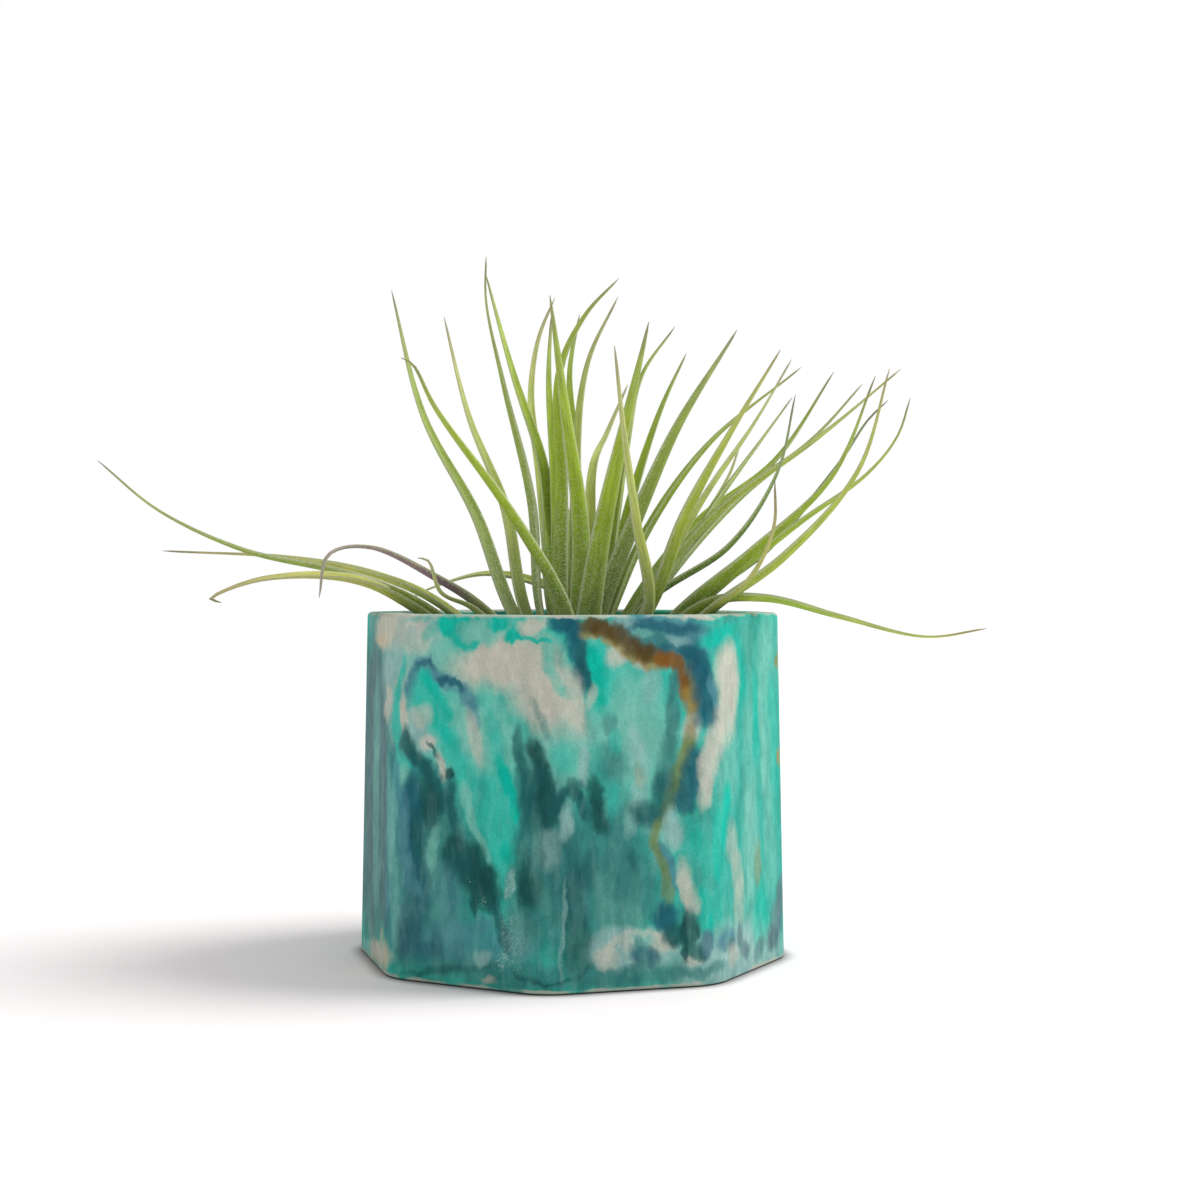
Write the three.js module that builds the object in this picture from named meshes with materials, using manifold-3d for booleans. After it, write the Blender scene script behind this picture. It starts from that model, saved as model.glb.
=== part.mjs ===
// An air plant in a small eight-sided pot of cast plaster, standing in a bed of pebbles.
// Millimetres, +Z up. The origin is the middle of the pot's underside, and -Y is the showing side.
import * as THREE from "three";
import { mergeVertices } from "three/addons/utils/BufferGeometryUtils.js";
import Module from "manifold-3d";

const wasm = await Module();
wasm.setup();

// Driving dimensions. A "flat" is the distance from the middle to one flat side of the octagon.
const POT = {
  height: 68,
  flatAtFoot: 40,
  flatAtRim: 38.75,
  cornerRadius: 9.5,
  footRadius: 0.8,
  rimRadius: 1.2,
  wall: 5,
  wallAtFloor: 7,
  floor: 6,
  floorFillet: 2,
  turn: THREE.MathUtils.degToRad(-96),
  cornerSteps: 4,
};
const FIT_GAP = 0.3;
const BED = { top: 42, pebbles: 60, innerRing: 11, outerRing: 29, holeSides: 16, seed: 7 };
const PEBBLE = { smallest: 3, largest: 3.5, lowest: 0.4, highest: 1.2, tilt: 0.6 };
const STEM = {
  x: 1.3,
  y: 1,
  foot: 39.8,
  footRadius: 5.2,
  waistZ: 47.5,
  waistRadius: 7.2,
  topZ: 60,
  topRadius: 2.4,
  sides: 14,
};
const LEAF = {
  fewestSteps: 8,
  mostSteps: 18,
  turnPerStep: THREE.MathUtils.degToRad(10),
  rootInnermost: 0.8,
  rootOutermost: 4.2,
  rootLow: 46,
  rootHigh: 55,
  rimReach: 32,
  widthAtRoot: 1.25,
  taper: 1.4,
  flare: 1.2,
  flareLength: 0.2,
  tipWidth: 0.7,
  thickAtRoot: 1.1,
  thickAtTip: 0.62,
  channel: 0.34,
  keel: 0.6,
  groove: 0.44,
};

// Groups of leaves that are placed by rule. Turns are in degrees, counterclockwise from +X, seen from above,
// and reach is measured from the stem. Reach and tip height run evenly from a group's first leaf to its last.
const LEAF_GROUPS = {
  back: { count: 12, turns: [72, 98], reach: [26, 66], tipZ: [93, 80], width: 3, seed: 21 },
  heart: { count: 5, turns: [0, 360], reach: [2, 5], tipZ: [76, 70], width: 2.6, seed: 4 },
  old: { count: 13, turns: [0, 360], reach: [15, 24], tipZ: [60, 56], width: 4.2, seed: 9 },
};
const GROUP_LEAF = {
  path: [{ out: 0.4, up: 0.67 }, { out: 0.72, up: 0.89 }, { out: 1, up: 1 }],
  tipSpread: 4,
  narrowest: 0.9,
  widest: 1.2,
};

// The leaves that show, each with its width near the rim of the pot and the points that its middle line
// passes through on its way from the rim to its tip. They were placed by eye, one after the other.
const SHOWING_LEAVES = [
  // Sweeping low to the left.
  { width: 3.0, through: [[-29, -2, 69], [-45, -4, 75.5], [-64, -6, 80], [-81, -6, 88], [-93.5, -4, 98]] },
  { width: 3.6, through: [[-27, 9, 69], [-42, 13, 75.5], [-60, 17, 79], [-86, 20, 80.5]] },
  {
    width: 4.8,
    through: [[-31.5, -3, 68.5], [-42, -12, 74], [-58, -25, 74.3], [-66, -30, 71], [-63.5, -33, 70.2]],
  },
  {
    width: 3.4,
    through: [[-17, -8, 68], [-26, -14, 74.5], [-38, -20, 80.5], [-45, -25, 79], [-46.5, -27, 71]],
  },
  { width: 2.4, through: [[-18.5, -14, 68.5], [-24.5, -20, 72], [-26.5, -24, 78], [-28.5, -24, 78.5]] },
  {
    width: 2.8,
    through: [[-2.5, 12, 70.5], [-9, 18, 74], [-19.5, 26, 75.5], [-31, 32, 72.5], [-35, 33, 70.5]],
  },
  // Rising to the left.
  { width: 3.6, through: [[-13, 12, 68], [-21, 22, 88], [-32.5, 32, 109.5], [-40, 40, 138]] },
  {
    width: 2.6,
    through: [[-1, -9, 68], [-11.5, -14, 87], [-25.5, -20, 107], [-29.5, -23, 115], [-31.5, -24, 116]],
  },
  { width: 3.4, through: [[-10, 8, 68], [-14.5, 15, 89.5], [-22, 22, 108.5], [-27.5, 28, 130.5]] },
  {
    width: 4.2,
    through: [[-6.5, 1, 68], [-8.5, 4, 90], [-14, 8, 114], [-17.5, 9.5, 131.5], [-17.5, 10, 140.5]],
  },
  { width: 3.8, through: [[-4.5, 6, 70.5], [-6.5, 14, 97], [-12.5, 20, 117], [-18.5, 26, 139.5]] },
  // Upright in the middle.
  { width: 2.8, through: [[-4, 12, 70.5], [-7, 19, 96], [-9, 25, 113], [-7.5, 30, 126], [-4, 34, 135.5]] },
  { width: 3.0, through: [[-2.5, 8, 68], [-4, 14, 97.5], [-5, 18, 115.5], [-4.5, 24, 130.5]] },
  { width: 3.8, through: [[2, -6, 68], [2, -8, 86], [-1, -9, 108], [-4, -8, 130]] },
  {
    width: 3.8,
    through: [[-2.5, -3, 68], [-2.5, -4, 94], [-2.5, -4, 115.5], [2.5, -3, 126.5], [9.5, 0, 134.5]],
  },
  { width: 2.8, through: [[1, 6, 70.5], [0.5, 12, 101.5], [-0.5, 16, 117.5], [1.5, 20, 130]] },
  { width: 3.0, through: [[3, 3, 70.5], [1.5, 6, 101], [3.5, 10, 119], [9.5, 15, 133]] },
  { width: 4.6, through: [[4, -10, 68], [7, -16, 86], [11, -20, 105], [15, -22, 123]] },
  { width: 3.0, through: [[4, 8, 70.5], [4.5, 26, 98], [7.5, 36, 106.5], [12, 46, 118]] },
  { width: 3.2, through: [[7, 5, 70.5], [11.5, 10, 101.5], [14.5, 14, 116.5], [21.5, 20, 127.5]] },
  { width: 2.8, through: [[15.5, -14, 68], [13, -20, 86], [10.5, -24, 101.5], [8.5, -26, 118]] },
  { width: 3.2, through: [[8, 9, 70.5], [13.5, 18, 93.5], [19, 26, 111], [24.5, 34, 123.5]] },
  // Rising to the right.
  { width: 4.6, through: [[6.5, -4, 68], [14, -6, 87], [22, -5, 105.5], [33, -2, 124]] },
  { width: 3.4, through: [[9, 3, 69], [16.5, 8, 85.5], [29, 13, 103], [48, 20, 119]] },
  { width: 4.2, through: [[16.5, -8, 69.5], [23, -14, 87], [31.5, -18, 103.5], [40, -20, 118]] },
  { width: 3.2, through: [[16.5, 0, 71.5], [26, -1, 89.5], [37, 5, 106], [45, 10, 119.5]] },
  { width: 2.2, through: [[16, 13.5, 72.5], [27.5, 28, 86.5], [34, 38, 97], [37, 46, 104.5]] },
  { width: 2.6, through: [[17, 4, 70.5], [30.5, 14, 91], [40, 24, 104], [47.5, 34, 114]] },
  { width: 2.0, through: [[15, -4.5, 69.5], [31.5, -5, 81], [41, -2, 95.5], [45, 2, 111.5]] },
  { width: 3.2, through: [[14, 10, 70.5], [27, 20, 86.5], [43.5, 28, 100], [56.5, 34, 119.5]] },
  { width: 3.2, through: [[18.5, 9.5, 72.5], [35.5, 23, 91.5], [52, 32, 105], [63.5, 40, 117.5]] },
  { width: 3.8, through: [[13, 3, 68], [30, 7, 88], [50, 10, 103], [68, 14, 118]] },
  { width: 3.8, through: [[22, -10, 68], [35.5, -16, 79.5], [50, -20, 94], [58, -20, 113]] },
  { width: 3.4, through: [[28, -13, 68.5], [41, -20, 78.5], [54, -26, 94.5], [59.5, -28, 113.5]] },
  { width: 3.2, through: [[25.5, -3, 69], [44.5, -7, 85], [58, -8, 95], [64, -8, 102.5], [66.5, -8, 110]] },
  { width: 2.8, through: [[23.5, 4, 68.5], [39.5, 6, 80], [54.5, 8, 98], [60.5, 9, 107], [64.5, 8, 111]] },
  { width: 2.0, through: [[27, -17, 68.5], [34, -24, 74.5], [38, -29, 84], [38, -31, 92.5]] },
  {
    width: 3.8,
    through: [[26, -11, 69], [37.5, -15, 70.5], [51, -20, 67.3], [67, -24, 63.7], [78, -26, 65.3]],
  },
];

const middleOfStem = new THREE.Vector2(STEM.x, STEM.y);

// One closed surface through rings of points. Each ring runs counterclockwise seen from the next one.
function loft(rings) {
  const size = rings[0].length;
  const index = [];
  for (let ring = 0; ring + 1 < rings.length; ring++) {
    for (let side = 0; side < size; side++) {
      const a = ring * size + side;
      const b = ring * size + ((side + 1) % size);
      index.push(a, b, b + size, a, b + size, a + size);
    }
  }
  const last = (rings.length - 1) * size;
  for (let side = 1; side + 1 < size; side++) {
    index.push(0, side + 1, side);
    index.push(last, last + side, last + side + 1);
  }
  const coordinates = rings.flat().flatMap((point) => point.toArray());
  const geometry = new THREE.BufferGeometry();
  geometry.setAttribute("position", new THREE.Float32BufferAttribute(coordinates, 3));
  geometry.setIndex(index);
  return geometry;
}

function toSolid(geometry) {
  geometry.deleteAttribute("normal");
  geometry.deleteAttribute("uv");
  const merged = mergeVertices(geometry);
  return new wasm.Manifold(new wasm.Mesh({
    numProp: 3,
    vertProperties: merged.getAttribute("position").array,
    triVerts: Uint32Array.from(merged.getIndex().array),
  }));
}

function toGeometry(solid) {
  const mesh = solid.getMesh();
  const geometry = new THREE.BufferGeometry();
  geometry.setAttribute("position", new THREE.Float32BufferAttribute(mesh.vertProperties, 3));
  geometry.setIndex(Array.from(mesh.triVerts));
  return geometry;
}

// Fusing seals small hollows between the feet of the leaves. The outermost surface alone leaves them filled.
function withoutHollows(solid) {
  return solid.decompose().reduce((outer, shell) => (shell.volume() > outer.volume() ? shell : outer));
}

// One level ring of an octagon with round corners, counterclockwise seen from above.
function octagonRing(flat, cornerRadius, z) {
  const corner = (flat - cornerRadius) / Math.cos(Math.PI / 8);
  const ring = [];
  for (let side = 0; side < 8; side++) {
    const turn = POT.turn + (side * Math.PI) / 4;
    for (let step = 0; step <= POT.cornerSteps; step++) {
      const facing = turn + (step / POT.cornerSteps - 0.5) * (Math.PI / 4);
      ring.push(new THREE.Vector3(
        corner * Math.cos(turn) + cornerRadius * Math.cos(facing),
        corner * Math.sin(turn) + cornerRadius * Math.sin(facing),
        z,
      ));
    }
  }
  return ring;
}

// The distance from the middle to the pot's flat sides at a height, outside and inside.
function outerFlat(z) {
  return THREE.MathUtils.mapLinear(z, 0, POT.height, POT.flatAtFoot, POT.flatAtRim);
}

function innerFlat(z) {
  const wall = THREE.MathUtils.mapLinear(z, POT.floor, POT.height, POT.wallAtFloor, POT.wall);
  return outerFlat(z) - wall;
}

// Steps of a quarter round: each gives how far the edge has run in and how far it has run up, from 0 to 1.
function quarterRound(steps) {
  return Array.from({ length: steps + 1 }, (_, step) => {
    const angle = (step / steps) * (Math.PI / 2);
    return { inward: 1 - Math.cos(angle), up: Math.sin(angle) };
  });
}

function potGeometry() {
  const rings = [];
  const outside = (z, inset) => rings.push(octagonRing(outerFlat(z) - inset, POT.cornerRadius - inset, z));
  const innerCorner = POT.cornerRadius - POT.wall;
  const inside = (z, inset) => rings.push(octagonRing(innerFlat(z) - inset, innerCorner - inset, z));
  for (const { inward, up } of quarterRound(2).reverse()) {
    outside(POT.footRadius * (1 - up), POT.footRadius * inward);
  }
  for (const { inward, up } of quarterRound(3)) {
    outside(POT.height - POT.rimRadius * (1 - up), POT.rimRadius * inward);
  }
  for (const { inward, up } of quarterRound(3).reverse()) {
    inside(POT.height - POT.rimRadius * (1 - up), -POT.rimRadius * inward);
  }
  for (const { inward, up } of quarterRound(2)) {
    inside(POT.floor + POT.floorFillet * (1 - up), POT.floorFillet * inward);
  }
  return loft(rings);
}

function between(low, high) {
  return THREE.MathUtils.lerp(low, high, THREE.MathUtils.seededRandom());
}

// One low stone about its own middle, wider than it is high.
function pebbleGeometry() {
  const geometry = new THREE.IcosahedronGeometry(between(PEBBLE.smallest, PEBBLE.largest), 0);
  geometry.scale(1, between(0.8, 1), between(0.7, 0.9));
  geometry.rotateX(between(-PEBBLE.tilt, PEBBLE.tilt) / 2);
  geometry.rotateZ(between(0, 2 * Math.PI));
  return geometry;
}

// The pebbles lie side by side in a spiral of equal spacing, sunk half way into the fill below them.
function bedGeometry() {
  const clear = (z) => innerFlat(z) - FIT_GAP;
  const foot = POT.floor + FIT_GAP;
  const corner = POT.cornerRadius - POT.wall;
  let bed = toSolid(loft([
    octagonRing(clear(foot) - POT.floorFillet, corner - POT.floorFillet, foot),
    octagonRing(clear(foot + POT.floorFillet), corner, foot + POT.floorFillet),
    octagonRing(clear(BED.top), corner, BED.top),
  ]));
  const goldenTurn = Math.PI * (3 - Math.sqrt(5));
  THREE.MathUtils.seededRandom(BED.seed);
  for (let i = 0; i < BED.pebbles; i++) {
    const share = (i + 0.5) / BED.pebbles;
    const reach = Math.sqrt(THREE.MathUtils.lerp(BED.innerRing ** 2, BED.outerRing ** 2, share));
    const middleZ = BED.top + between(PEBBLE.lowest, PEBBLE.highest);
    const pebble = pebbleGeometry();
    pebble.translate(reach * Math.cos(i * goldenTurn), reach * Math.sin(i * goldenTurn), middleZ);
    bed = bed.add(toSolid(pebble));
  }
  const holeRadius = STEM.footRadius + FIT_GAP;
  const holeFloor = STEM.foot - FIT_GAP;
  const holeTop = BED.top + PEBBLE.highest + PEBBLE.largest;
  const hole = new THREE.CylinderGeometry(holeRadius, holeRadius, holeTop - holeFloor, BED.holeSides);
  hole.rotateX(Math.PI / 2);
  hole.translate(STEM.x, STEM.y, (holeFloor + holeTop) / 2);
  return toGeometry(bed.subtract(toSolid(hole)));
}

function stemGeometry() {
  const profile = [
    [0, STEM.foot],
    [STEM.footRadius, STEM.foot],
    [STEM.footRadius, BED.top],
    [STEM.waistRadius, STEM.waistZ],
    [STEM.topRadius, STEM.topZ],
    [0, STEM.topZ],
  ];
  const stem = new THREE.LatheGeometry(profile.map(([r, z]) => new THREE.Vector2(r, z)), STEM.sides);
  stem.rotateX(Math.PI / 2);
  stem.translate(STEM.x, STEM.y, 0);
  return stem;
}

// The leaf's section across and through it. Its edges stand above its floor, and it flattens at both ends.
function leafSection(width, along) {
  const half = THREE.MathUtils.lerp(LEAF.thickAtRoot, LEAF.thickAtTip, along) / 2;
  const rise = LEAF.channel * width * Math.sin(Math.PI * along);
  const edge = width / 2;
  const keel = LEAF.keel * edge;
  const groove = LEAF.groove * edge;
  return [[-edge, rise], [-keel, -half], [keel, -half], [edge, rise], [groove, half], [-groove, half]];
}

// A leaf roots inside the stem, on the side it grows to. Wide-spread leaves root low and upright ones high.
function leafRoot(firstPoint) {
  const outward = new THREE.Vector2(firstPoint.x, firstPoint.y).sub(middleOfStem);
  const upright = 1 - Math.min(1, outward.length() / LEAF.rimReach);
  outward.setLength(THREE.MathUtils.lerp(LEAF.rootOutermost, LEAF.rootInnermost, upright)).add(middleOfStem);
  return new THREE.Vector3(outward.x, outward.y, THREE.MathUtils.lerp(LEAF.rootLow, LEAF.rootHigh, upright));
}

// A leaf that curls takes more steps than a straight one.
function leafSteps(curve) {
  const samples = 24;
  const tangents = Array.from({ length: samples + 1 }, (_, i) => curve.getTangentAt(i / samples));
  const turned = tangents.slice(1).reduce((sum, tangent, i) => sum + tangent.angleTo(tangents[i]), 0);
  return Math.round(THREE.MathUtils.clamp(turned / LEAF.turnPerStep, LEAF.fewestSteps, LEAF.mostSteps));
}

// Leaves taper slowly at first and faster to the tip, and widen at the root, where they clasp the stem.
function leafWidth(width, along) {
  const flare = Math.max(0, 1 - along / LEAF.flareLength) ** 2;
  const tapered = THREE.MathUtils.lerp(width * LEAF.widthAtRoot, LEAF.tipWidth, along ** LEAF.taper);
  return tapered + LEAF.flare * flare;
}

function leafGeometry({ width, through }) {
  const points = through.map((p) => new THREE.Vector3(...p));
  const curve = new THREE.CatmullRomCurve3([leafRoot(points[0]), ...points], false, "centripetal");
  const steps = leafSteps(curve);
  const rings = [];
  let inner = new THREE.Vector3(STEM.x - points[0].x, STEM.y - points[0].y, 0);
  for (let step = 0; step <= steps; step++) {
    const along = step / steps;
    const middle = curve.getPointAt(along);
    const forward = curve.getTangentAt(along);
    inner = inner.clone().projectOnPlane(forward).normalize();
    const across = inner.clone().cross(forward);
    rings.push(leafSection(leafWidth(width, along), along).map(([side, up]) => (
      middle.clone().addScaledVector(across, side).addScaledVector(inner, up)
    )));
  }
  return loft(rings);
}

// The leaves of a group follow one another by the golden angle, folded into the sector that the group fills.
function groupLeaves({ count, turns, reach, tipZ, width, seed }) {
  const goldenShare = (Math.sqrt(5) - 1) / 2;
  const { lerp, degToRad, seededRandom } = THREE.MathUtils;
  seededRandom(seed);
  return Array.from({ length: count }, (_, i) => {
    const turn = degToRad(lerp(...turns, (i * goldenShare) % 1));
    const order = i / (count - 1);
    const reached = lerp(...reach, order);
    const tip = lerp(...tipZ, order) + between(-GROUP_LEAF.tipSpread, GROUP_LEAF.tipSpread) / 2;
    const root = lerp(LEAF.rootHigh, LEAF.rootLow, Math.min(1, reached / LEAF.rimReach));
    const through = GROUP_LEAF.path.map(({ out, up }) => [
      STEM.x + out * reached * Math.cos(turn),
      STEM.y + out * reached * Math.sin(turn),
      lerp(root, tip, up),
    ]);
    return { width: width * between(GROUP_LEAF.narrowest, GROUP_LEAF.widest), through };
  });
}

function rosetteGeometry() {
  let rosette = toSolid(stemGeometry());
  for (const leaf of [...SHOWING_LEAVES, ...Object.values(LEAF_GROUPS).flatMap(groupLeaves)]) {
    rosette = rosette.add(toSolid(leafGeometry(leaf)));
  }
  return toGeometry(withoutHollows(rosette));
}

function piece(name, geometry, color, roughness) {
  geometry.computeVertexNormals();
  const mesh = new THREE.Mesh(geometry, new THREE.MeshStandardMaterial({ color, roughness, metalness: 0 }));
  mesh.name = name;
  return mesh;
}

const airPlant = new THREE.Group();
airPlant.add(piece("pot", potGeometry(), 0x3f9a96, 0.75));
airPlant.add(piece("pebble_bed", bedGeometry(), 0x8d8678, 0.85));
airPlant.add(piece("rosette", rosetteGeometry(), 0x8fa84a, 0.7));
export default airPlant;
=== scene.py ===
"""An air plant in a small eight-sided pot of marbled cast plaster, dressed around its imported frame.

The frame gives the place and size of every piece. Each class below builds one sub-assembly and dresses it
with its finish. Sizes are in millimetres until a mesh is written, and Blender's own unit is the metre.
"""

import logging
import math
import random
from collections.abc import Callable, Iterable, Sequence
from dataclasses import dataclass, field, replace
from enum import Enum

import bmesh
import bpy
import numpy as np
from mathutils import Euler, Matrix, Vector


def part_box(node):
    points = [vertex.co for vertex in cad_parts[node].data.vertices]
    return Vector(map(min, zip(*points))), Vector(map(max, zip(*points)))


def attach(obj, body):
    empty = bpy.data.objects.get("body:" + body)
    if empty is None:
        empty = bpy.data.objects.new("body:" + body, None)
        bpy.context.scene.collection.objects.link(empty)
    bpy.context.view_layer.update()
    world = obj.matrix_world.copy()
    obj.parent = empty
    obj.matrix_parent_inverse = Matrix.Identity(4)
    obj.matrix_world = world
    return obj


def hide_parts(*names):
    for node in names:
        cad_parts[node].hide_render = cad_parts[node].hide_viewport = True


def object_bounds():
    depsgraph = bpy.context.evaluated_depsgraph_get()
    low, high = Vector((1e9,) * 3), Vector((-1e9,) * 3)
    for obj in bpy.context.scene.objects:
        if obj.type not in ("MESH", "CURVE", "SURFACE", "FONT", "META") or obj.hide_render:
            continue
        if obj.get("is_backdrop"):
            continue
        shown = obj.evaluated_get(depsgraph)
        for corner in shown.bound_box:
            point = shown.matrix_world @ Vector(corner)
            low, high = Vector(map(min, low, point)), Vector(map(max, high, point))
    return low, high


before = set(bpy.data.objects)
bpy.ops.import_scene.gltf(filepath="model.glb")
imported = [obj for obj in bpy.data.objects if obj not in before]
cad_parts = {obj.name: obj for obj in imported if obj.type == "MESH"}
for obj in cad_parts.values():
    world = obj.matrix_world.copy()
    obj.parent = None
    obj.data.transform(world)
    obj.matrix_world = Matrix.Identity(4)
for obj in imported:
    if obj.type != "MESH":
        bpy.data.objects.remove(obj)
cad_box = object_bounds()

log = logging.getLogger("air_plant")

MM = 0.001
GOLDEN_SHARE = (math.sqrt(5) - 1) / 2

# The photograph's frame, in pixels, and the eye that took it, in the frame's millimetres.
PHOTO_SIDE = 1200
EYE = Vector((5.8, -395.0, 74.2))
EYE_DROP = math.radians(0.555)
LENS = 59.3
SENSOR = 36.0

# The stem's axis, seen from above.
STEM_X = 1.3
STEM_Y = 1.0

# How near to a height, in millimetres, a corner has to be to count as lying at it.
LEVEL_TOLERANCE = 0.01

Point = tuple[float, float, float]
Rgba = tuple[float, float, float, float]
Pair = tuple[float, float]
Piece = bpy.types.Object
Material = bpy.types.Material
Socket = bpy.types.NodeSocket

# What a node's input takes: another node's output, or a plain value.
Input = Socket | float | Sequence[float]


def node_box(node: str) -> tuple[Vector, Vector]:
    """Gives the lowest and the highest corner of a frame node's box, in millimetres."""
    low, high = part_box(node)
    return Vector(low) / MM, Vector(high) / MM


def lerp(low: float, high: float, share: float) -> float:
    """Gives the value that lies a share of the way from low to high."""
    return low + (high - low) * share


def linear(hex_code: str) -> Rgba:
    """Turns a colour written as six hex digits into the linear values that shaders take.

    Args:
        hex_code: The colour as the eye sees it, such as "1fb9a7".

    Returns:
        Red, green, blue and an opacity of one.
    """
    seen = [int(hex_code[place : place + 2], 16) / 255 for place in (0, 2, 4)]
    red, green, blue = (c / 12.92 if c <= 0.04045 else ((c + 0.055) / 1.055) ** 2.4 for c in seen)
    return red, green, blue, 1.0


class Pigment(Enum):
    """The pigments that were folded into the plaster, one of which is also laid as painted shade."""

    TURQUOISE = "00b5a0"
    AQUA = "36b8a6"
    # A darker aqua: a pigment in the ground, and painted shade where it is laid down the right side.
    LAGOON_AND_PAINTED_SHADE = "38a898"
    SEAFOAM = "7abfaf"
    CREAM = "c3c1b2"
    PEACH = "cdb995"
    MIST = "93b8b3"
    STEEL = "4d8592"
    SLATE = "5b7a7f"
    TEAL = "387c78"
    DEEP_TEAL = "1c5a5b"
    PINE = "154c4a"
    OCEAN = "1a5b6b"
    OLIVE = "6c8048"
    OCHRE = "96803a"
    RUST = "7d4f14"
    BROWN = "543f18"
    CHALK = "ffffff"

    @property
    def rgba(self) -> Rgba:
        """The pigment as shader values."""
        return linear(self.value)


class LeafTone(Enum):
    """How a leaf has aged, except SHADED, which paints shade on leaves that lie in shadow: its colour at the
    root, low, in the middle, high, near the tip and at the tip.
    """

    FRESH = ("7c9050", "84a030", "92ac1e", "9eb436", "9cae54", "8e8668")
    DUSTY = ("7a9060", "84994e", "8ba040", "94a84a", "98a662", "8a826c")
    BRIGHT = ("8a9c50", "98aa3c", "a2b434", "aebc4e", "b0b666", "9c8e6c")
    PALE = ("96a468", "a2b058", "aeba56", "b8c26c", "b4b67a", "989078")
    # A darker copy of the green, painted as shade for leaves that lie in shadow.
    SHADED = ("66804e", "6c8842", "6e8a3e", "78904e", "808e60", "807866")
    YELLOW = ("98a64c", "a4b044", "b0b448", "b2b25a", "a8a068", "7c705c")
    PLUM = ("8a9c40", "90a040", "8c6c7e", "92807c", "a09888", "b0a898")
    DRIED = ("94946a", "9a9a6c", "9c946c", "9c926e", "948670", "8c7d6c")


# The share of a leaf's length at which each of its tone's colours stands.
TONE_STOPS = (0.0, 0.34, 0.5, 0.72, 0.9, 1.0)


class Bench:
    """A node tree, with short ways to lay out the nodes that the finishes use.

    Attributes:
        tree: The node tree.
        material: The material that it belongs to, if any.
    """

    # The mix node's sockets for colours, which share their names with its sockets for numbers and vectors.
    mix_under = 6
    mix_over = 7
    mix_result = 2

    def __init__(self, tree: bpy.types.NodeTree, material: Material | None = None) -> None:
        """Takes a node tree to work on, and its material."""
        self.tree = tree
        self.material = material

    @classmethod
    def for_material(cls, name: str) -> "Bench":
        """Starts an empty material.

        Args:
            name: The material's name.

        Returns:
            The bench for its nodes.
        """
        material = bpy.data.materials.new(name)
        material.use_nodes = True
        material.node_tree.nodes.clear()
        return cls(material.node_tree, material)

    def node(
        self, kind: str, inputs: dict[str | int, Input] | None = None, **settings: object
    ) -> bpy.types.Node:
        """Adds a node.

        Args:
            kind: The node's type, without its "ShaderNode" prefix.
            inputs: Values or output sockets by the name or number of the input that they go into.
            **settings: The node's own properties.

        Returns:
            The new node.
        """
        made = self.tree.nodes.new(f"ShaderNode{kind}")
        for name, value in settings.items():
            setattr(made, name, value)
        for key, value in (inputs or {}).items():
            self.feed(made.inputs[key], value)
        return made

    def feed(self, socket: Socket, value: Input) -> None:
        """Links an output socket to an input, or sets the input to a plain value."""
        if isinstance(value, Socket):
            self.tree.links.new(value, socket)
        else:
            socket.default_value = value

    def math(self, operation: str, *values: Input) -> Socket:
        """Does sums on numbers, which are given in order."""
        return self.node("Math", dict(enumerate(values)), operation=operation).outputs[0]

    def vector(self, operation: str, *values: Input) -> Socket:
        """Does sums on vectors, which are given in order. A length and a dot product come out as numbers."""
        made = self.node("VectorMath", dict(enumerate(values)), operation=operation)
        return made.outputs["Value" if operation in ("LENGTH", "DOT_PRODUCT") else "Vector"]

    def scaled(self, vector: Input, factor: float) -> Socket:
        """Multiplies a vector or a colour by one number."""
        made = self.node("VectorMath", {0: vector, "Scale": factor}, operation="SCALE")
        return made.outputs["Vector"]

    def drawn_out(self, place: Socket, share: float) -> Socket:
        """Shortens a place's height to a share of it, so that a pattern read there is drawn out upright."""
        return self.vector("MULTIPLY", place, (1.0, 1.0, share))

    def centred(self, noise: Socket) -> Socket:
        """Shifts a noise of three numbers from the range above zero to lie round zero."""
        return self.vector("SUBTRACT", noise, (0.5, 0.5, 0.5))

    def height(self, place: Socket) -> Socket:
        """Takes a place's height."""
        return self.node("SeparateXYZ", {0: place}).outputs["Z"]

    def position(self) -> Socket:
        """Gives the place on the object in millimetres."""
        return self.scaled(self.node("TexCoord").outputs["Object"], 1 / MM)

    def attribute(self, name: str, output: str) -> Socket:
        """Reads an attribute of the mesh, as the output that is named."""
        return self.node("Attribute", attribute_name=name).outputs[output]

    def noise(self, place: Socket, size: float, detail: float = 2.0, colour: bool = False) -> Socket:
        """Adds a cloudy noise of a certain size and fineness: one number for each place, or a colour."""
        made = self.node("TexNoise", {"Vector": place, "Scale": 1 / size, "Detail": detail})
        return made.outputs["Color" if colour else "Fac"]

    def ramp(self, value: Socket, low: float, high: float, top: float = 1.0) -> Socket:
        """Rises smoothly from zero at low to the top value at high, which may also lie below low."""
        inputs = {"Value": value, "From Min": low, "From Max": high, "To Max": top}
        made = self.node("MapRange", inputs, interpolation_type="SMOOTHSTEP", clamp=False)
        return made.outputs["Result"]

    def mix(self, share: Input, under: Input, over: Input, blend: str = "MIX") -> Socket:
        """Lays one colour over another.

        Args:
            share: How much of the upper colour shows.
            under: The lower colour.
            over: The upper colour.
            blend: The way in which they meet.

        Returns:
            The mixed colour's socket.
        """
        inputs = {"Factor": share, self.mix_under: under, self.mix_over: over}
        made = self.node("Mix", inputs, data_type="RGBA", blend_type=blend, clamp_result=True)
        return made.outputs[self.mix_result]

    def bump(self, height: Socket, depth: float, strength: float, under: Socket | None = None) -> Socket:
        """Turns a height between zero and one into a bumped normal.

        Args:
            height: The height.
            depth: How far one stands above zero, in millimetres.
            strength: How much of it shows.
            under: A normal that it is laid on, or none.

        Returns:
            The normal's socket.
        """
        made = self.node("Bump", {"Height": height, "Distance": depth * MM, "Strength": strength})
        if under is not None:
            self.feed(made.inputs["Normal"], under)
        return made.outputs["Normal"]

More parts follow.
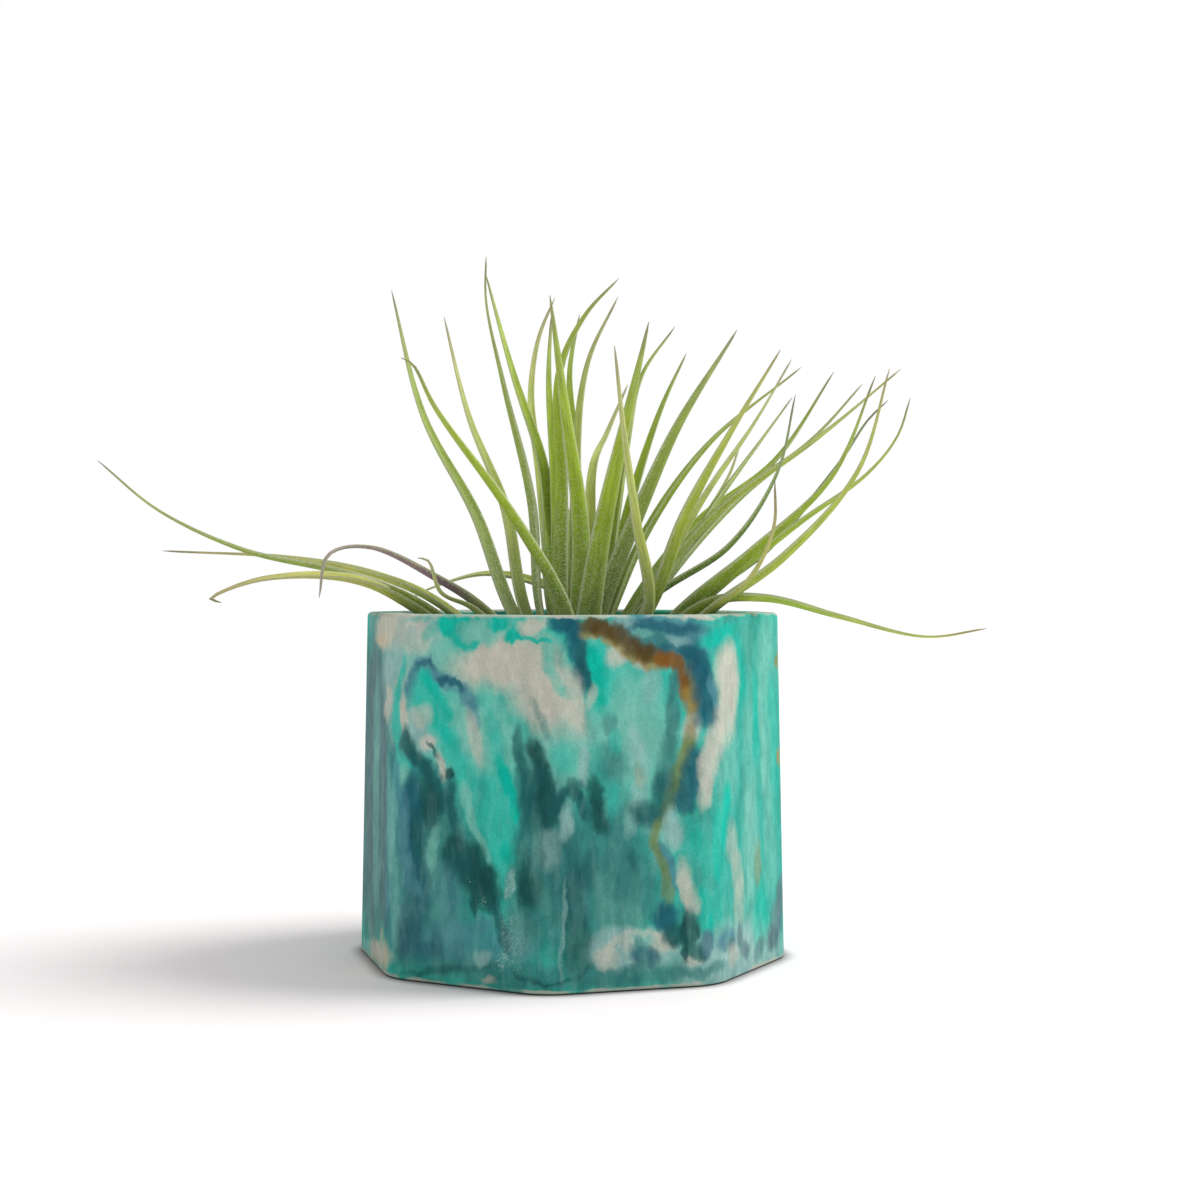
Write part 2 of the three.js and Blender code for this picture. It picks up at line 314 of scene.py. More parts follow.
    def surface(self, colour: Socket, roughness: Input, normal: Socket, **gloss: float) -> Material:
        """Finishes the material with one principled shader.

        Args:
            colour: The base colour.
            roughness: The roughness.
            normal: The bumped normal.
            **gloss: Further inputs of the shader, with underscores for the spaces in their names.

        Returns:
            The finished material.
        """
        inputs = {"Base Color": colour, "Roughness": roughness, "Normal": normal}
        inputs |= {name.replace("_", " "): value for name, value in gloss.items()}
        shader = self.node("BsdfPrincipled", inputs)
        self.node("OutputMaterial", {"Surface": shader.outputs[0]})
        return self.material


# What Blender calls the value in an attribute's elements, by the attribute's type.
VALUE_NAMES = {"FLOAT": "value", "FLOAT_VECTOR": "vector", "FLOAT_COLOR": "color"}


def start_alone() -> None:
    """Deselects every object, so that the next operator touches only what it makes."""
    bpy.ops.object.select_all(action="DESELECT")


def take_up(piece: Piece) -> None:
    """Selects one piece alone and makes it the active one."""
    start_alone()
    piece.select_set(True)
    bpy.context.view_layer.objects.active = piece


def begin_edit(piece: Piece) -> None:
    """Selects one piece alone and opens it in edit mode."""
    take_up(piece)
    bpy.ops.object.mode_set(mode="EDIT")


def end_edit() -> None:
    """Closes edit mode."""
    bpy.ops.object.mode_set(mode="OBJECT")


def close_outwards() -> None:
    """Turns all faces of the piece that is being edited outwards, and closes edit mode."""
    bpy.ops.mesh.select_all(action="SELECT")
    bpy.ops.mesh.normals_make_consistent(inside=False)
    end_edit()


def pick(piece: Piece, kind: str, test: Callable[[object], bool]) -> None:
    """Selects, in edit mode, exactly the elements of a piece that pass a test.

    Args:
        piece: The piece that is being edited.
        kind: "VERT", "EDGE" or "FACE".
        test: Says of one element whether it is picked.
    """
    bpy.context.tool_settings.mesh_select_mode = tuple(kind == mode for mode in ("VERT", "EDGE", "FACE"))
    mesh = bmesh.from_edit_mesh(piece.data)
    mesh.select_mode = {kind}
    elements = {"VERT": mesh.verts, "EDGE": mesh.edges, "FACE": mesh.faces}
    for each in elements.values():
        for element in each:
            element.select = False
    for element in elements[kind]:
        if test(element):
            element.select_set(True)
    mesh.select_flush_mode()
    bmesh.update_edit_mesh(piece.data)


def lies_at(element: bmesh.types.BMEdge | bmesh.types.BMFace, level: float) -> bool:
    """Says whether all corners of an edge or a face lie at one height, in millimetres."""
    return all(abs(corner.co.z - level * MM) < LEVEL_TOLERANCE * MM for corner in element.verts)


def settle(piece: Piece) -> None:
    """Writes a piece's place, turn and size into its mesh, so that its object sits at the origin."""
    take_up(piece)
    bpy.ops.object.transform_apply(location=True, rotation=True, scale=True)


def copy_of(piece: Piece) -> Piece:
    """Copies a piece, with a mesh of its own."""
    copy = piece.copy()
    copy.data = piece.data.copy()
    bpy.context.collection.objects.link(copy)
    return copy


def write_attribute(piece: Piece, name: str, kind: str, values: np.ndarray) -> None:
    """Writes an attribute of a piece's points, of one of the types in VALUE_NAMES."""
    layer = piece.data.attributes.new(name, kind, "POINT")
    layer.data.foreach_set(VALUE_NAMES[kind], np.ascontiguousarray(values, np.float32).ravel())


def join(pieces: Sequence[Piece], name: str) -> Piece:
    """Joins pieces into one object.

    Args:
        pieces: The pieces, of which the first one takes in the others.
        name: The joined object's name.

    Returns:
        The joined object.
    """
    start_alone()
    for piece in pieces:
        piece.select_set(True)
    bpy.context.view_layer.objects.active = pieces[0]
    bpy.ops.object.join()
    joined = bpy.context.view_layer.objects.active
    joined.name = joined.data.name = name
    return joined


def hand_in(piece: Piece, node: str, slot: str, *finishes: Material) -> None:
    """Dresses a piece, hangs it under the root body, hides the frame's node that it replaces, and logs what
    it stands for.

    Args:
        piece: The finished piece.
        node: The frame's node that it replaces.
        slot: The name of the material slot that it takes its finish from. It is not used.
        *finishes: Its materials, of which the first one covers it until faces are given another.
    """
    piece.data.materials.clear()
    for finish in finishes:
        piece.data.materials.append(finish)
    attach(piece, "root")
    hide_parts(node)
    log.info("%s: %d faces, stands for %s", piece.name, len(piece.data.polygons), node)


@dataclass(frozen=True)
class Octagon:
    """The pot's outline, and how the photograph's pixels fall on it.

    Attributes:
        turn: The direction of its first corner, in degrees, counterclockwise from +X seen from above. Corners
            lie 45 degrees apart, so one also lies this far round from the middle of the view.
        flat: The distance from its middle to its flat sides at mid-height.
        reach: The radius at which turns round the pot are counted as lengths.
        sides: How many sides it has.
    """

    turn: float = -96.0
    flat: float = 39.4
    reach: float = 41.0
    sides: int = 8

    @property
    def full(self) -> float:
        """The length once round the pot."""
        return math.tau * self.reach

    @property
    def side_angle(self) -> float:
        """The angle that one side takes up, in degrees."""
        return 360 / self.sides

    def to_corner(self, flat: float) -> float:
        """Gives the distance from the middle to the corners, from that to the flat sides."""
        return flat / math.cos(math.pi / self.sides)

    def corner_setback(self, radius: float) -> float:
        """Gives how far from a corner a rounding of a certain radius starts."""
        return radius * math.tan(math.pi / self.sides)

    def side_start(self, side: int) -> float:
        """Gives the turn at which a side starts, in degrees to the right from the middle of the view."""
        return self.turn + side * self.side_angle

    def side_at(self, x: float, y: float) -> int:
        """Finds the side that faces a place."""
        turn = math.degrees(math.atan2(x, -y))
        return int((turn - self.turn) % 360 / self.side_angle)

    def facings(self) -> list[float]:
        """Gives the directions that its flat sides face, in radians, counterclockwise from +X."""
        return [math.radians(self.turn + (side + 0.5) * self.side_angle) for side in range(self.sides)]

    def unrolled(self, column: float, row: float) -> Pair:
        """Finds what a pixel of the photograph shows of the pot.

        Args:
            column: The pixel's column, which is kept just inside the pot's silhouette.
            row: The pixel's row.

        Returns:
            The length round the pot from the middle of its showing side, to the right, and the height.
        """
        scale = SENSOR / LENS / PHOTO_SIDE
        across = (column - PHOTO_SIDE / 2) * scale
        down = (row - PHOTO_SIDE / 2) * scale + math.tan(EYE_DROP)
        entries = []
        for facing in self.facings():
            normal = (math.cos(facing), math.sin(facing))
            closing = -(normal[0] * across + normal[1])
            if closing > 0:
                entries.append((normal[0] * EYE.x + normal[1] * EYE.y - self.flat) / closing)
        depth = max(entries)
        x = EYE.x + across * depth
        y = EYE.y + depth
        return math.atan2(x, -y) * self.reach, EYE.z - down * depth


OCTAGON = Octagon()


def scale_picked(factor: float) -> None:
    """Scales what is picked in the plane of the floor, about the pot's axis."""
    bpy.ops.transform.resize(value=(factor, factor, 1.0), center_override=(0, 0, 0))


def round_corners(block: Piece, radius: float, steps: int) -> None:
    """Rounds the upright corners of an eight-sided block that is being edited, in a number of steps."""
    pick(block, "EDGE", lambda edge: not lies_at(edge, edge.verts[0].co.z / MM))
    bpy.ops.mesh.bevel(offset=OCTAGON.corner_setback(radius) * MM, segments=steps)


def octagonal_block(radius: float, low: float, high: float) -> Piece:
    """Adds an upright eight-sided block, with its corners in the pot's directions.

    Args:
        radius: The distance from its middle to its corners.
        low: The height of its underside.
        high: The height of its top.

    Returns:
        The block, with its place in its mesh.
    """
    # Blender points the first corner along +Y. The nearest corner of the outline is six degrees short of it.
    start_alone()
    bpy.ops.mesh.primitive_cylinder_add(
        vertices=OCTAGON.sides,
        radius=radius * MM,
        depth=(high - low) * MM,
        location=(0, 0, (high + low) / 2 * MM),
        rotation=(0, 0, math.radians(OCTAGON.turn + 90)),
    )
    block = bpy.context.object
    settle(block)
    return block


@dataclass(frozen=True)
class Swirl:
    """A patch of one pigment, laid over what is under it, with soft and ragged edges.

    Attributes:
        pigment: Its pigment.
        around: The length round the pot to its middle, in millimetres, to the right of the showing side.
        height: The height of its middle.
        half_width: Half its size round the pot.
        half_height: Half its size up and down.
        lean: How far its top leans to the right, in degrees.
        soft: The share of its size over which it fades, from 0 to 1.
        share: How much of it shows at its middle.
    """

    pigment: Pigment
    around: float
    height: float
    half_width: float
    half_height: float
    lean: float = 0.0
    soft: float = 0.6
    share: float = 0.9

    # How far beyond its edge and within it a patch of softness one fades, over its half size.
    fade_beyond = 1 / 3
    fade_within = 0.8

    @property
    def outer(self) -> float:
        """How far from its middle it ends, over its half size."""
        return 1 + self.soft * self.fade_beyond

    @property
    def inner(self) -> float:
        """How far from its middle it starts to fade, over its half size."""
        return 1 - self.soft * self.fade_within

    def reaches(self, first: float, last: float) -> bool:
        """Says whether any of the patch may lie between two lengths round the pot."""
        lean = math.radians(self.lean)
        half = math.hypot(self.half_width * math.cos(lean), self.half_height * math.sin(lean)) * self.outer
        return self.around + half > first and self.around - half < last

    def lay(self, bench: Bench, place: Socket, under: Input) -> Socket:
        """Lays the patch over a colour.

        Args:
            bench: The material's bench.
            place: The place on the unrolled pot, ruffled. Its third number is one.
            under: The colour so far.

        Returns:
            The colour with the patch on it.
        """
        # A dot product with a place whose third number is one shifts it too. A Mapping node would do the
        # same, but would keep every swirl's vector waiting in the renderer's small memory.
        lean = math.radians(self.lean)
        sine, cosine = math.sin(lean), math.cos(lean)
        shift_side = self.height * sine - self.around * cosine
        shift_rise = -self.around * sine - self.height * cosine
        side = bench.vector("DOT_PRODUCT", place, [c / self.half_width for c in (cosine, -sine, shift_side)])
        rise = bench.vector("DOT_PRODUCT", place, [c / self.half_height for c in (sine, cosine, shift_rise)])
        squared = bench.math("MULTIPLY_ADD", rise, rise, bench.math("MULTIPLY", side, side))
        cover = bench.ramp(squared, self.outer**2, self.inner**2, self.share)
        return bench.mix(cover, under, self.pigment.rgba)


def seen(
    pigment: Pigment,
    column: float,
    row: float,
    half_width: float,
    half_height: float,
    lean: float,
    soft: int,
    share: int,
) -> Swirl:
    """Places a swirl where the photograph shows it, with all its sizes in the photograph's pixels.

    Args:
        pigment: Its pigment.
        column: The column of its middle.
        row: The row of its middle.
        half_width: Half its width.
        half_height: Half its height.
        lean: How far its top leans to the right, in degrees.
        soft: The share of its size over which it fades, in hundredths.
        share: How much of it shows at its middle, in hundredths.

    Returns:
        The swirl in place on the unrolled pot.
    """
    around, height = OCTAGON.unrolled(column, row)
    left, top = OCTAGON.unrolled(column - half_width, row - half_height)
    right, bottom = OCTAGON.unrolled(column + half_width, row + half_height)
    sizes = ((right - left) / 2, (top - bottom) / 2)
    return Swirl(pigment, around, height, *sizes, lean, soft / 100, share / 100)


def vein(
    pigment: Pigment,
    half_width: float,
    *stops: Pair,
    share: int = 90,
) -> list[Swirl]:
    """Runs a strand of pigment through places of the photograph, as one slim swirl for each stretch.

    Args:
        pigment: Its pigment.
        half_width: Half the strand's width, in the photograph's pixels.
        *stops: The columns and rows that it passes through.
        share: How much of it shows at its middle, in hundredths.

    Returns:
        The strand's swirls.
    """
    overlap, spread, soft = 1.55, 1.3, 90
    swirls = []
    for start, end in zip(stops, stops[1:]):
        run, drop = end[0] - start[0], end[1] - start[1]
        lean = math.degrees(math.atan2(-run, drop))
        half_length = math.hypot(run, drop) / 2 * overlap
        middle = ((start[0] + end[0]) / 2, (start[1] + end[1]) / 2)
        swirls.append(seen(pigment, *middle, half_width * spread, half_length, lean, soft, share))
    return swirls


# Short for the tables of swirls.
P = Pigment

# The swirls of the sides that show, from the lowest layer to the highest, each placed one by one.
SHOWING_SWIRLS = (
    # Wide grounds of colour, from left to right.
    seen(P.SLATE, 374, 780, 15, 190, 0, 70, 95),
    seen(P.STEEL, 396, 850, 16, 110, 0, 85, 85),
    seen(P.CREAM, 386, 632, 20, 24, 0, 55, 95),
    seen(P.MIST, 392, 672, 18, 34, 0, 85, 85),
    seen(P.MIST, 416, 632, 26, 24, 0, 95, 85),
    seen(P.SEAFOAM, 430, 660, 30, 26, 0, 95, 80),
    seen(P.CREAM, 498, 662, 56, 30, -10, 70, 100),
    seen(P.CREAM, 548, 700, 34, 56, -38, 80, 95),
    seen(P.SEAFOAM, 478, 740, 40, 60, -24, 85, 85),
    seen(P.MIST, 424, 728, 24, 30, -20, 80, 90),
    seen(P.SEAFOAM, 560, 760, 34, 36, 0, 95, 85),
    seen(P.AQUA, 625, 690, 46, 50, 0, 80, 90),
    seen(P.SEAFOAM, 640, 740, 34, 56, 0, 95, 85),
    seen(P.STEEL, 662, 634, 58, 24, 4, 70, 95),
    # Painted shade: darker aqua down the right side, where the light from the right falls brighter.
    seen(P.LAGOON_AND_PAINTED_SHADE, 752, 790, 46, 190, 0, 55, 95),
    *vein(P.SEAFOAM, 6.0, (750, 640), (752, 720), (750, 800), (752, 880), share=40),
    *vein(P.SEAFOAM, 5.0, (772, 620), (772, 700), (771, 780), (768, 880), share=40),
    seen(P.TEAL, 436, 880, 40, 110, 0, 80, 90),
    seen(P.TEAL, 600, 880, 66, 90, 0, 80, 90),
    seen(P.TEAL, 540, 850, 36, 80, 0, 85, 85),
    seen(P.DEEP_TEAL, 540, 890, 44, 100, 0, 90, 40),
    seen(P.STEEL, 470, 948, 60, 30, 0, 85, 70),
    seen(P.MIST, 740, 962, 56, 24, 6, 70, 95),
    seen(P.TEAL, 560, 978, 150, 16, 0, 80, 80),
    # The left side.
    seen(P.PEACH, 379, 640, 7, 8, 0, 100, 55),
    *vein(P.SLATE, 5.0, (370, 660), (373, 700), (377, 750), (380, 800), share=75),
    *vein(P.MIST, 3.6, (381, 664), (389, 700), (391, 740), share=75),
    *vein(P.SEAFOAM, 2.4, (376, 690), (375, 760), (376, 840), (378, 900), share=50),
    *vein(P.SEAFOAM, 2.2, (388, 790), (390, 850), (392, 930), share=50),
    *vein(P.SLATE, 3.0, (381, 700), (383, 780), (384, 860), (384, 920), share=70),
    *vein(P.CREAM, 3.0, (399, 676), (390, 690), (385, 700), (387, 716), share=75),
    *vein(P.AQUA, 3.4, (401, 664), (394, 690), (391, 712), (393, 740), (402, 766), (410, 768)),
    seen(P.CREAM, 403, 716, 5, 22, 0, 80, 90),
    seen(P.SEAFOAM, 372, 948, 14, 22, -4, 80, 90),
    seen(P.CREAM, 381, 952, 9, 22, -4, 80, 95),
    *vein(P.PEACH, 1.6, (381, 930), (386, 945), (389, 968), share=40),
    # The band under the rim, with its bright clots.
    seen(P.SEAFOAM, 477, 632, 20, 15, 0, 80, 90),
    seen(P.CREAM, 412, 636, 18, 20, 0, 100, 70),
    seen(P.AQUA, 416, 621, 14, 4, -8, 100, 50),
    seen(P.AQUA, 427, 634, 10, 7, -40, 100, 55),
    seen(P.MIST, 408, 640, 8, 10, 0, 100, 50),
    seen(P.TURQUOISE, 444, 627, 10, 12, -20, 50, 100),
    *vein(P.TURQUOISE, 3.0, (451, 634), (459, 643), (466, 646), (476, 643)),
    *vein(P.TURQUOISE, 2.4, (450, 624), (458, 617), (470, 615), (484, 616)),
    seen(P.TURQUOISE, 496, 623, 12, 8, -10, 50, 95),
    seen(P.TURQUOISE, 512, 633, 13, 8, -34, 50, 100),
    *vein(P.TURQUOISE, 2.2, (518, 622), (512, 632), (526, 635), (536, 640), (548, 641)),
    seen(P.CREAM, 531, 625, 15, 8, -6, 80, 90),
    *vein(P.AQUA, 5.0, (546, 644), (548, 658), (552, 672), (562, 690), (574, 700), share=50),
    # The grey arc, and the turquoise that pours out from under it.
    *vein(P.STEEL, 4.5, (411, 694), (411, 676), (415, 666), (423, 663), (431, 671), (437, 680)),
    *vein(P.OCEAN, 1.8, (413, 672), (417, 665), (424, 662), (431, 668), share=60),
    *vein(P.STEEL, 5.5, (428, 672), (440, 681), (455, 684), (466, 692), share=80),
    *vein(P.OCEAN, 3.0, (435, 680), (445, 680), (456, 683), (465, 691), share=85),
    seen(P.STEEL, 470, 699, 9, 12, -30, 95, 90),
    *vein(P.STEEL, 5.0, (470, 700), (473, 716), (475, 730), share=60),
    seen(P.AQUA, 424, 694, 12, 24, -20, 80, 90),
    *vein(P.TURQUOISE, 5.5, (420, 672), (426, 684), (438, 696), (443, 712), (450, 722)),
    *vein(P.AQUA, 9.0, (414, 696), (430, 708), (441, 730), (456, 760), (470, 785), (480, 800), share=95),
    *vein(P.TURQUOISE, 4.5, (432, 712), (440, 728), (450, 742), share=70),
    seen(P.AQUA, 484, 694, 9, 20, -24, 100, 50),
    *vein(P.AQUA, 7.0, (490, 714), (495, 738), (499, 765), (506, 795), share=70),
    seen(P.CREAM, 474, 738, 7, 28, -14, 85, 65),
    seen(P.CREAM, 421, 716, 12, 12, -30, 85, 50),
    seen(P.CREAM, 428, 742, 8, 9, -30, 85, 80),
    *vein(P.DEEP_TEAL, 1.5, (428, 742), (433, 747), (437, 757), (442, 759), share=80),
    seen(P.CREAM, 441, 768, 4, 16, -14, 85, 80),
    seen(P.PINE, 448, 774, 4, 8, 10, 70, 95),
    seen(P.AQUA, 492, 812, 25, 46, -14, 50, 100),
    seen(P.AQUA, 502, 846, 12, 32, 6, 55, 100),
    *vein(P.TURQUOISE, 5.0, (500, 765), (507, 788), (513, 806), (514, 820), share=100),
    seen(P.TURQUOISE, 507, 852, 6, 12, 0, 95, 80),
    *vein(P.SEAFOAM, 3.5, (463, 790), (470, 812), (478, 838), (488, 860), share=70),
    # Dark plumes on the left.
    seen(P.DEEP_TEAL, 406, 742, 5, 14, -6, 95, 70),
    seen(P.DEEP_TEAL, 424, 800, 13, 30, -12, 95, 70),
    *vein(P.DEEP_TEAL, 7.0, (404, 740), (409, 755), (422, 763),
          (431, 774), (437, 792), (443, 812), share=95),
    *vein(P.DEEP_TEAL, 5.0, (450, 784), (452, 806), (456, 828), share=85),
    seen(P.SEAFOAM, 402, 776, 6, 12, 0, 95, 70),
    seen(P.PINE, 430, 806, 13, 26, -6, 85, 75),
    *vein(P.OCEAN, 8.0, (411, 786), (413, 830), (417, 856), (424, 880), (425, 910), share=85),
    seen(P.DEEP_TEAL, 418, 840, 7, 34, -4, 85, 80),
    *vein(P.STEEL, 4.5, (403, 800), (406, 850), (410, 880), (418, 894), share=65),
    *vein(P.SEAFOAM, 4.0, (437, 830), (432, 846), (434, 866), share=60),
    *vein(P.PINE, 12.0, (444, 848), (462, 854), (478, 868), (488, 886), share=95),
    *vein(P.PINE, 12.0, (468, 868), (480, 890), (494, 908), share=95),
    seen(P.DEEP_TEAL, 458, 866, 16, 22, -20, 95, 80),
    seen(P.PINE, 473, 906, 5, 16, -6, 80, 85),
    *vein(P.DEEP_TEAL, 5.0, (492, 905), (500, 930), (508, 952), share=85),
    seen(P.STEEL, 448, 900, 13, 34, -8, 95, 45),
    seen(P.SLATE, 411, 930, 14, 34, 0, 95, 45),
    seen(P.OCEAN, 414, 936, 13, 26, 10, 95, 60),
    seen(P.OCEAN, 432, 952, 14, 12, 0, 95, 55),
    seen(P.STEEL, 482, 926, 11, 10, -20, 95, 70),
    seen(P.MIST, 482, 960, 8, 9, 0, 95, 75),
    seen(P.DEEP_TEAL, 446, 972, 44, 9, -8, 100, 60),
    seen(P.CREAM, 490, 981, 7, 5, 0, 95, 70),
    # The middle, with two dark flames.
    *vein(P.TEAL, 4.0, (533, 704), (541, 724), (550, 742), share=45),
    *vein(P.DEEP_TEAL, 4.5, (516, 734), (518, 756), (524, 780), share=75),
    *vein(P.PINE, 7.0, (529, 744), (536, 760), (541, 778), (546, 796), share=95),
    seen(P.DEEP_TEAL, 534, 800, 20, 38, -10, 85, 95),
    seen(P.PINE, 545, 806, 11, 24, -10, 95, 80),
    *vein(P.DEEP_TEAL, 5.0, (552, 812), (560, 796), (570, 789), (580, 798), (586, 816)),
    seen(P.AQUA, 563, 758, 14, 18, 0, 95, 70),
    seen(P.MIST, 566, 822, 7, 20, 4, 95, 70),
    seen(P.MIST, 546, 850, 15, 20, 0, 100, 50),
    seen(P.PINE, 528, 888, 15, 28, 0, 75, 90),
    seen(P.DEEP_TEAL, 534, 860, 10, 22, 10, 95, 60),
    seen(P.MIST, 508, 884, 4, 16, 16, 95, 50),
    seen(P.SLATE, 520, 936, 18, 24, -10, 100, 50),
    seen(P.DEEP_TEAL, 575, 900, 12, 50, 0, 80, 85),
    seen(P.PINE, 582, 950, 17, 30, -6, 80, 75),
    seen(P.DEEP_TEAL, 590, 872, 10, 24, 8, 95, 60),
    *vein(P.MIST, 2.0, (565, 890), (564, 930), (562, 972), share=30),
    *vein(P.DEEP_TEAL, 2.0, (514, 972), (526, 981), (545, 985),
          (566, 982), (584, 976), (594, 962), share=60),
    # Dark blue wedge, and the turquoise to its right.
    seen(P.OCEAN, 560, 624, 14, 9, -4, 70, 95),
    *vein(P.OCEAN, 8.5, (568, 620), (574, 640), (580, 662), (587, 690), share=95),
    seen(P.DEEP_TEAL, 583, 664, 8, 26, -14, 80, 70),
    seen(P.CREAM, 578, 706, 9, 34, -10, 95, 60),
    seen(P.CREAM, 594, 698, 5, 14, 10, 95, 50),
    *vein(P.TURQUOISE, 7.0, (590, 652), (597, 670), (606, 688), share=100),
    seen(P.TURQUOISE, 606, 701, 6, 8, 0, 85, 85),
    seen(P.MIST, 650, 684, 9, 20, 4, 100, 55),
    seen(P.SEAFOAM, 628, 700, 14, 34, 0, 100, 50),
    seen(P.SEAFOAM, 600, 730, 12, 16, 0, 100, 60),
    seen(P.CREAM, 620, 654, 15, 13, -30, 85, 85),
    seen(P.CREAM, 643, 666, 9, 6, 0, 95, 80),
    seen(P.TEAL, 612, 724, 8, 12, 10, 100, 60),
    seen(P.TEAL, 614, 762, 16, 20, 0, 100, 75),
    seen(P.TURQUOISE, 618, 742, 7, 12, 0, 100, 50),
    seen(P.MIST, 584, 768, 6, 20, 0, 95, 70),
    *vein(P.PINE, 6.5, (594, 784), (597, 806), (602, 830)),
    seen(P.DEEP_TEAL, 576, 786, 10, 8, 10, 95, 70),
    seen(P.AQUA, 614, 800, 9, 16, 0, 95, 45),
    *vein(P.MIST, 6.0, (634, 730), (640, 752), (641, 776), (636, 800), (627, 830), share=45),
    seen(P.OCHRE, 639, 776, 5, 12, 0, 100, 25),
    # Blue under the rim on the right.
    seen(P.TEAL, 652, 641, 22, 12, 10, 100, 70),
    seen(P.OCEAN, 668, 627, 42, 6, 3, 100, 80),
    seen(P.OCEAN, 676, 652, 18, 8, 8, 100, 75),
    seen(P.MIST, 680, 640, 14, 5, 10, 100, 50),
    seen(P.SEAFOAM, 640, 634, 12, 5, 10, 100, 50),
    seen(P.MIST, 622, 623, 14, 5, 0, 95, 60),
    seen(P.OCEAN, 692, 652, 14, 8, 0, 85, 85),
    seen(P.CREAM, 706, 617, 18, 3, 2, 85, 95),
    # The brown vein that crosses the right of the middle.
    seen(P.OCHRE, 592, 634, 14, 7, -8, 95, 80),
    seen(P.BROWN, 591, 625, 14, 10, -8, 95, 95),
    *vein(P.OCHRE, 5.5, (604, 638), (616, 642), (630, 656), (642, 662), (656, 668), share=80),
    *vein(P.BROWN, 7.5, (594, 626), (612, 632), (626, 640), (637, 653), (652, 659), share=95),
    *vein(P.BROWN, 6.0, (652, 656), (664, 660), (676, 660), share=70),
    *vein(P.RUST, 7.0, (656, 664), (668, 660), (678, 660), (685, 670), (687, 692), share=95),
    *vein(P.OCHRE, 5.5, (692, 664), (698, 670), (699, 684), (696, 706)),
    *vein(P.RUST, 5.0, (686, 684), (687, 698), (688, 712), share=50),
    *vein(P.OCHRE, 6.0, (690, 690), (692, 706), (692, 726), share=70),
    seen(P.CREAM, 692, 728, 11, 14, 0, 95, 75),
    *vein(P.TEAL, 5.5, (676, 674), (674, 692), (671, 720), (670, 748), share=85),
    seen(P.TEAL, 668, 760, 12, 28, 6, 85, 80),
    seen(P.DEEP_TEAL, 664, 790, 12, 20, 14, 95, 75),
    *vein(P.OCHRE, 6.0, (691, 724), (689, 748), (684, 770), share=55),
    *vein(P.OLIVE, 7.0, (689, 742), (685, 764), (677, 786), (667, 806), (657, 822), share=80),
    seen(P.OCEAN, 700, 662, 12, 24, -16, 95, 80),
    *vein(P.OCEAN, 10.0, (702, 656), (708, 684), (711, 708), (714, 726), share=95),
    *vein(P.STEEL, 2.4, (714, 680), (718, 700), share=80),
    *vein(P.OCEAN, 10.0, (699, 752), (695, 776), (688, 796), (680, 808)),
    seen(P.DEEP_TEAL, 644, 813, 17, 14, 16, 95, 90),
    seen(P.DEEP_TEAL, 662, 792, 13, 24, 14, 100, 60),
    seen(P.MIST, 672, 828, 10, 22, -8, 95, 85),
    *vein(P.STEEL, 4.0, (661, 842), (669, 862), (673, 888), share=80),
    *vein(P.OLIVE, 4.4, (656, 822), (653, 840), (658, 854), (664, 872), (666, 898), share=75),
    seen(P.DEEP_TEAL, 633, 858, 6, 12, -10, 95, 70),
    seen(P.TEAL, 620, 890, 34, 40, 0, 100, 60),
    seen(P.SEAFOAM, 622, 916, 22, 14, 0, 100, 20),
    # The turquoise side on the right, streaked from top to bottom.
    seen(P.TURQUOISE, 724, 635, 17, 9, -14, 80, 95),
    seen(P.TURQUOISE, 740, 672, 9, 36, -10, 85, 90),
    # Painted shade: darker aqua over the brightly lit upper right.
    seen(P.LAGOON_AND_PAINTED_SHADE, 766, 650, 22, 50, 0, 100, 50),
    seen(P.CREAM, 730, 676, 11, 36, -6, 70, 95),
    seen(P.CREAM, 728, 718, 10, 28, 6, 85, 90),
    *vein(P.CREAM, 6.5, (724, 730), (716, 752), (711, 780), (707, 804), share=80),
    seen(P.SEAFOAM, 730, 770, 10, 40, 8, 95, 50),
    seen(P.SEAFOAM, 768, 660, 8, 40, 0, 100, 55),
    *vein(P.SEAFOAM, 2.6, (762, 690), (764, 730), (765, 780), share=70),
    *vein(P.TURQUOISE, 2.6, (756, 680), (757, 720), (756, 760), share=70),
    *vein(P.TURQUOISE, 3.2, (773, 680), (775, 740), (775, 800), share=50),
    *vein(P.TURQUOISE, 4.0, (730, 790), (723, 818), (718, 846), (717, 872), share=95),
    seen(P.TURQUOISE, 700, 850, 12, 30, -20, 100, 50),
    *vein(P.TURQUOISE, 6.5, (700, 892), (708, 906), (708, 936), share=100),
    seen(P.TURQUOISE, 759, 915, 8, 32, 4, 95, 70),
    *vein(P.CREAM, 4.5, (730, 830), (735, 860), (738, 890), (738, 916), share=45),
    *vein(P.SEAFOAM, 4.0, (749, 800), (750, 846), (748, 900), share=60),
    *vein(P.OCHRE, 2.6, (756, 850), (757, 880), share=45),
    seen(P.OCHRE, 780, 662, 2.5, 6, 0, 95, 80),
    seen(P.OCHRE, 780, 758, 2.5, 9, 0, 95, 80),
    seen(P.CREAM, 685, 888, 8, 28, -12, 85, 80),
    seen(P.CREAM, 692, 904, 9, 12, 0, 90, 50),
    *vein(P.SLATE, 5.0, (782, 884), (777, 908), (772, 930), (768, 944)),
    # The foot on the right: dark flames over a pale band.
    seen(P.MIST, 634, 950, 44, 19, 0, 70, 90),
    seen(P.MIST, 612, 950, 18, 20, 0, 90, 80),
    seen(P.SEAFOAM, 650, 942, 26, 12, -10, 100, 60),
    *vein(P.CREAM, 3.2, (604, 952), (616, 942), (636, 934), (656, 936), (672, 948), share=40),
    seen(P.CREAM, 607, 958, 11, 11, 0, 100, 75),
    seen(P.CREAM, 628, 946, 8, 8, -20, 100, 50),
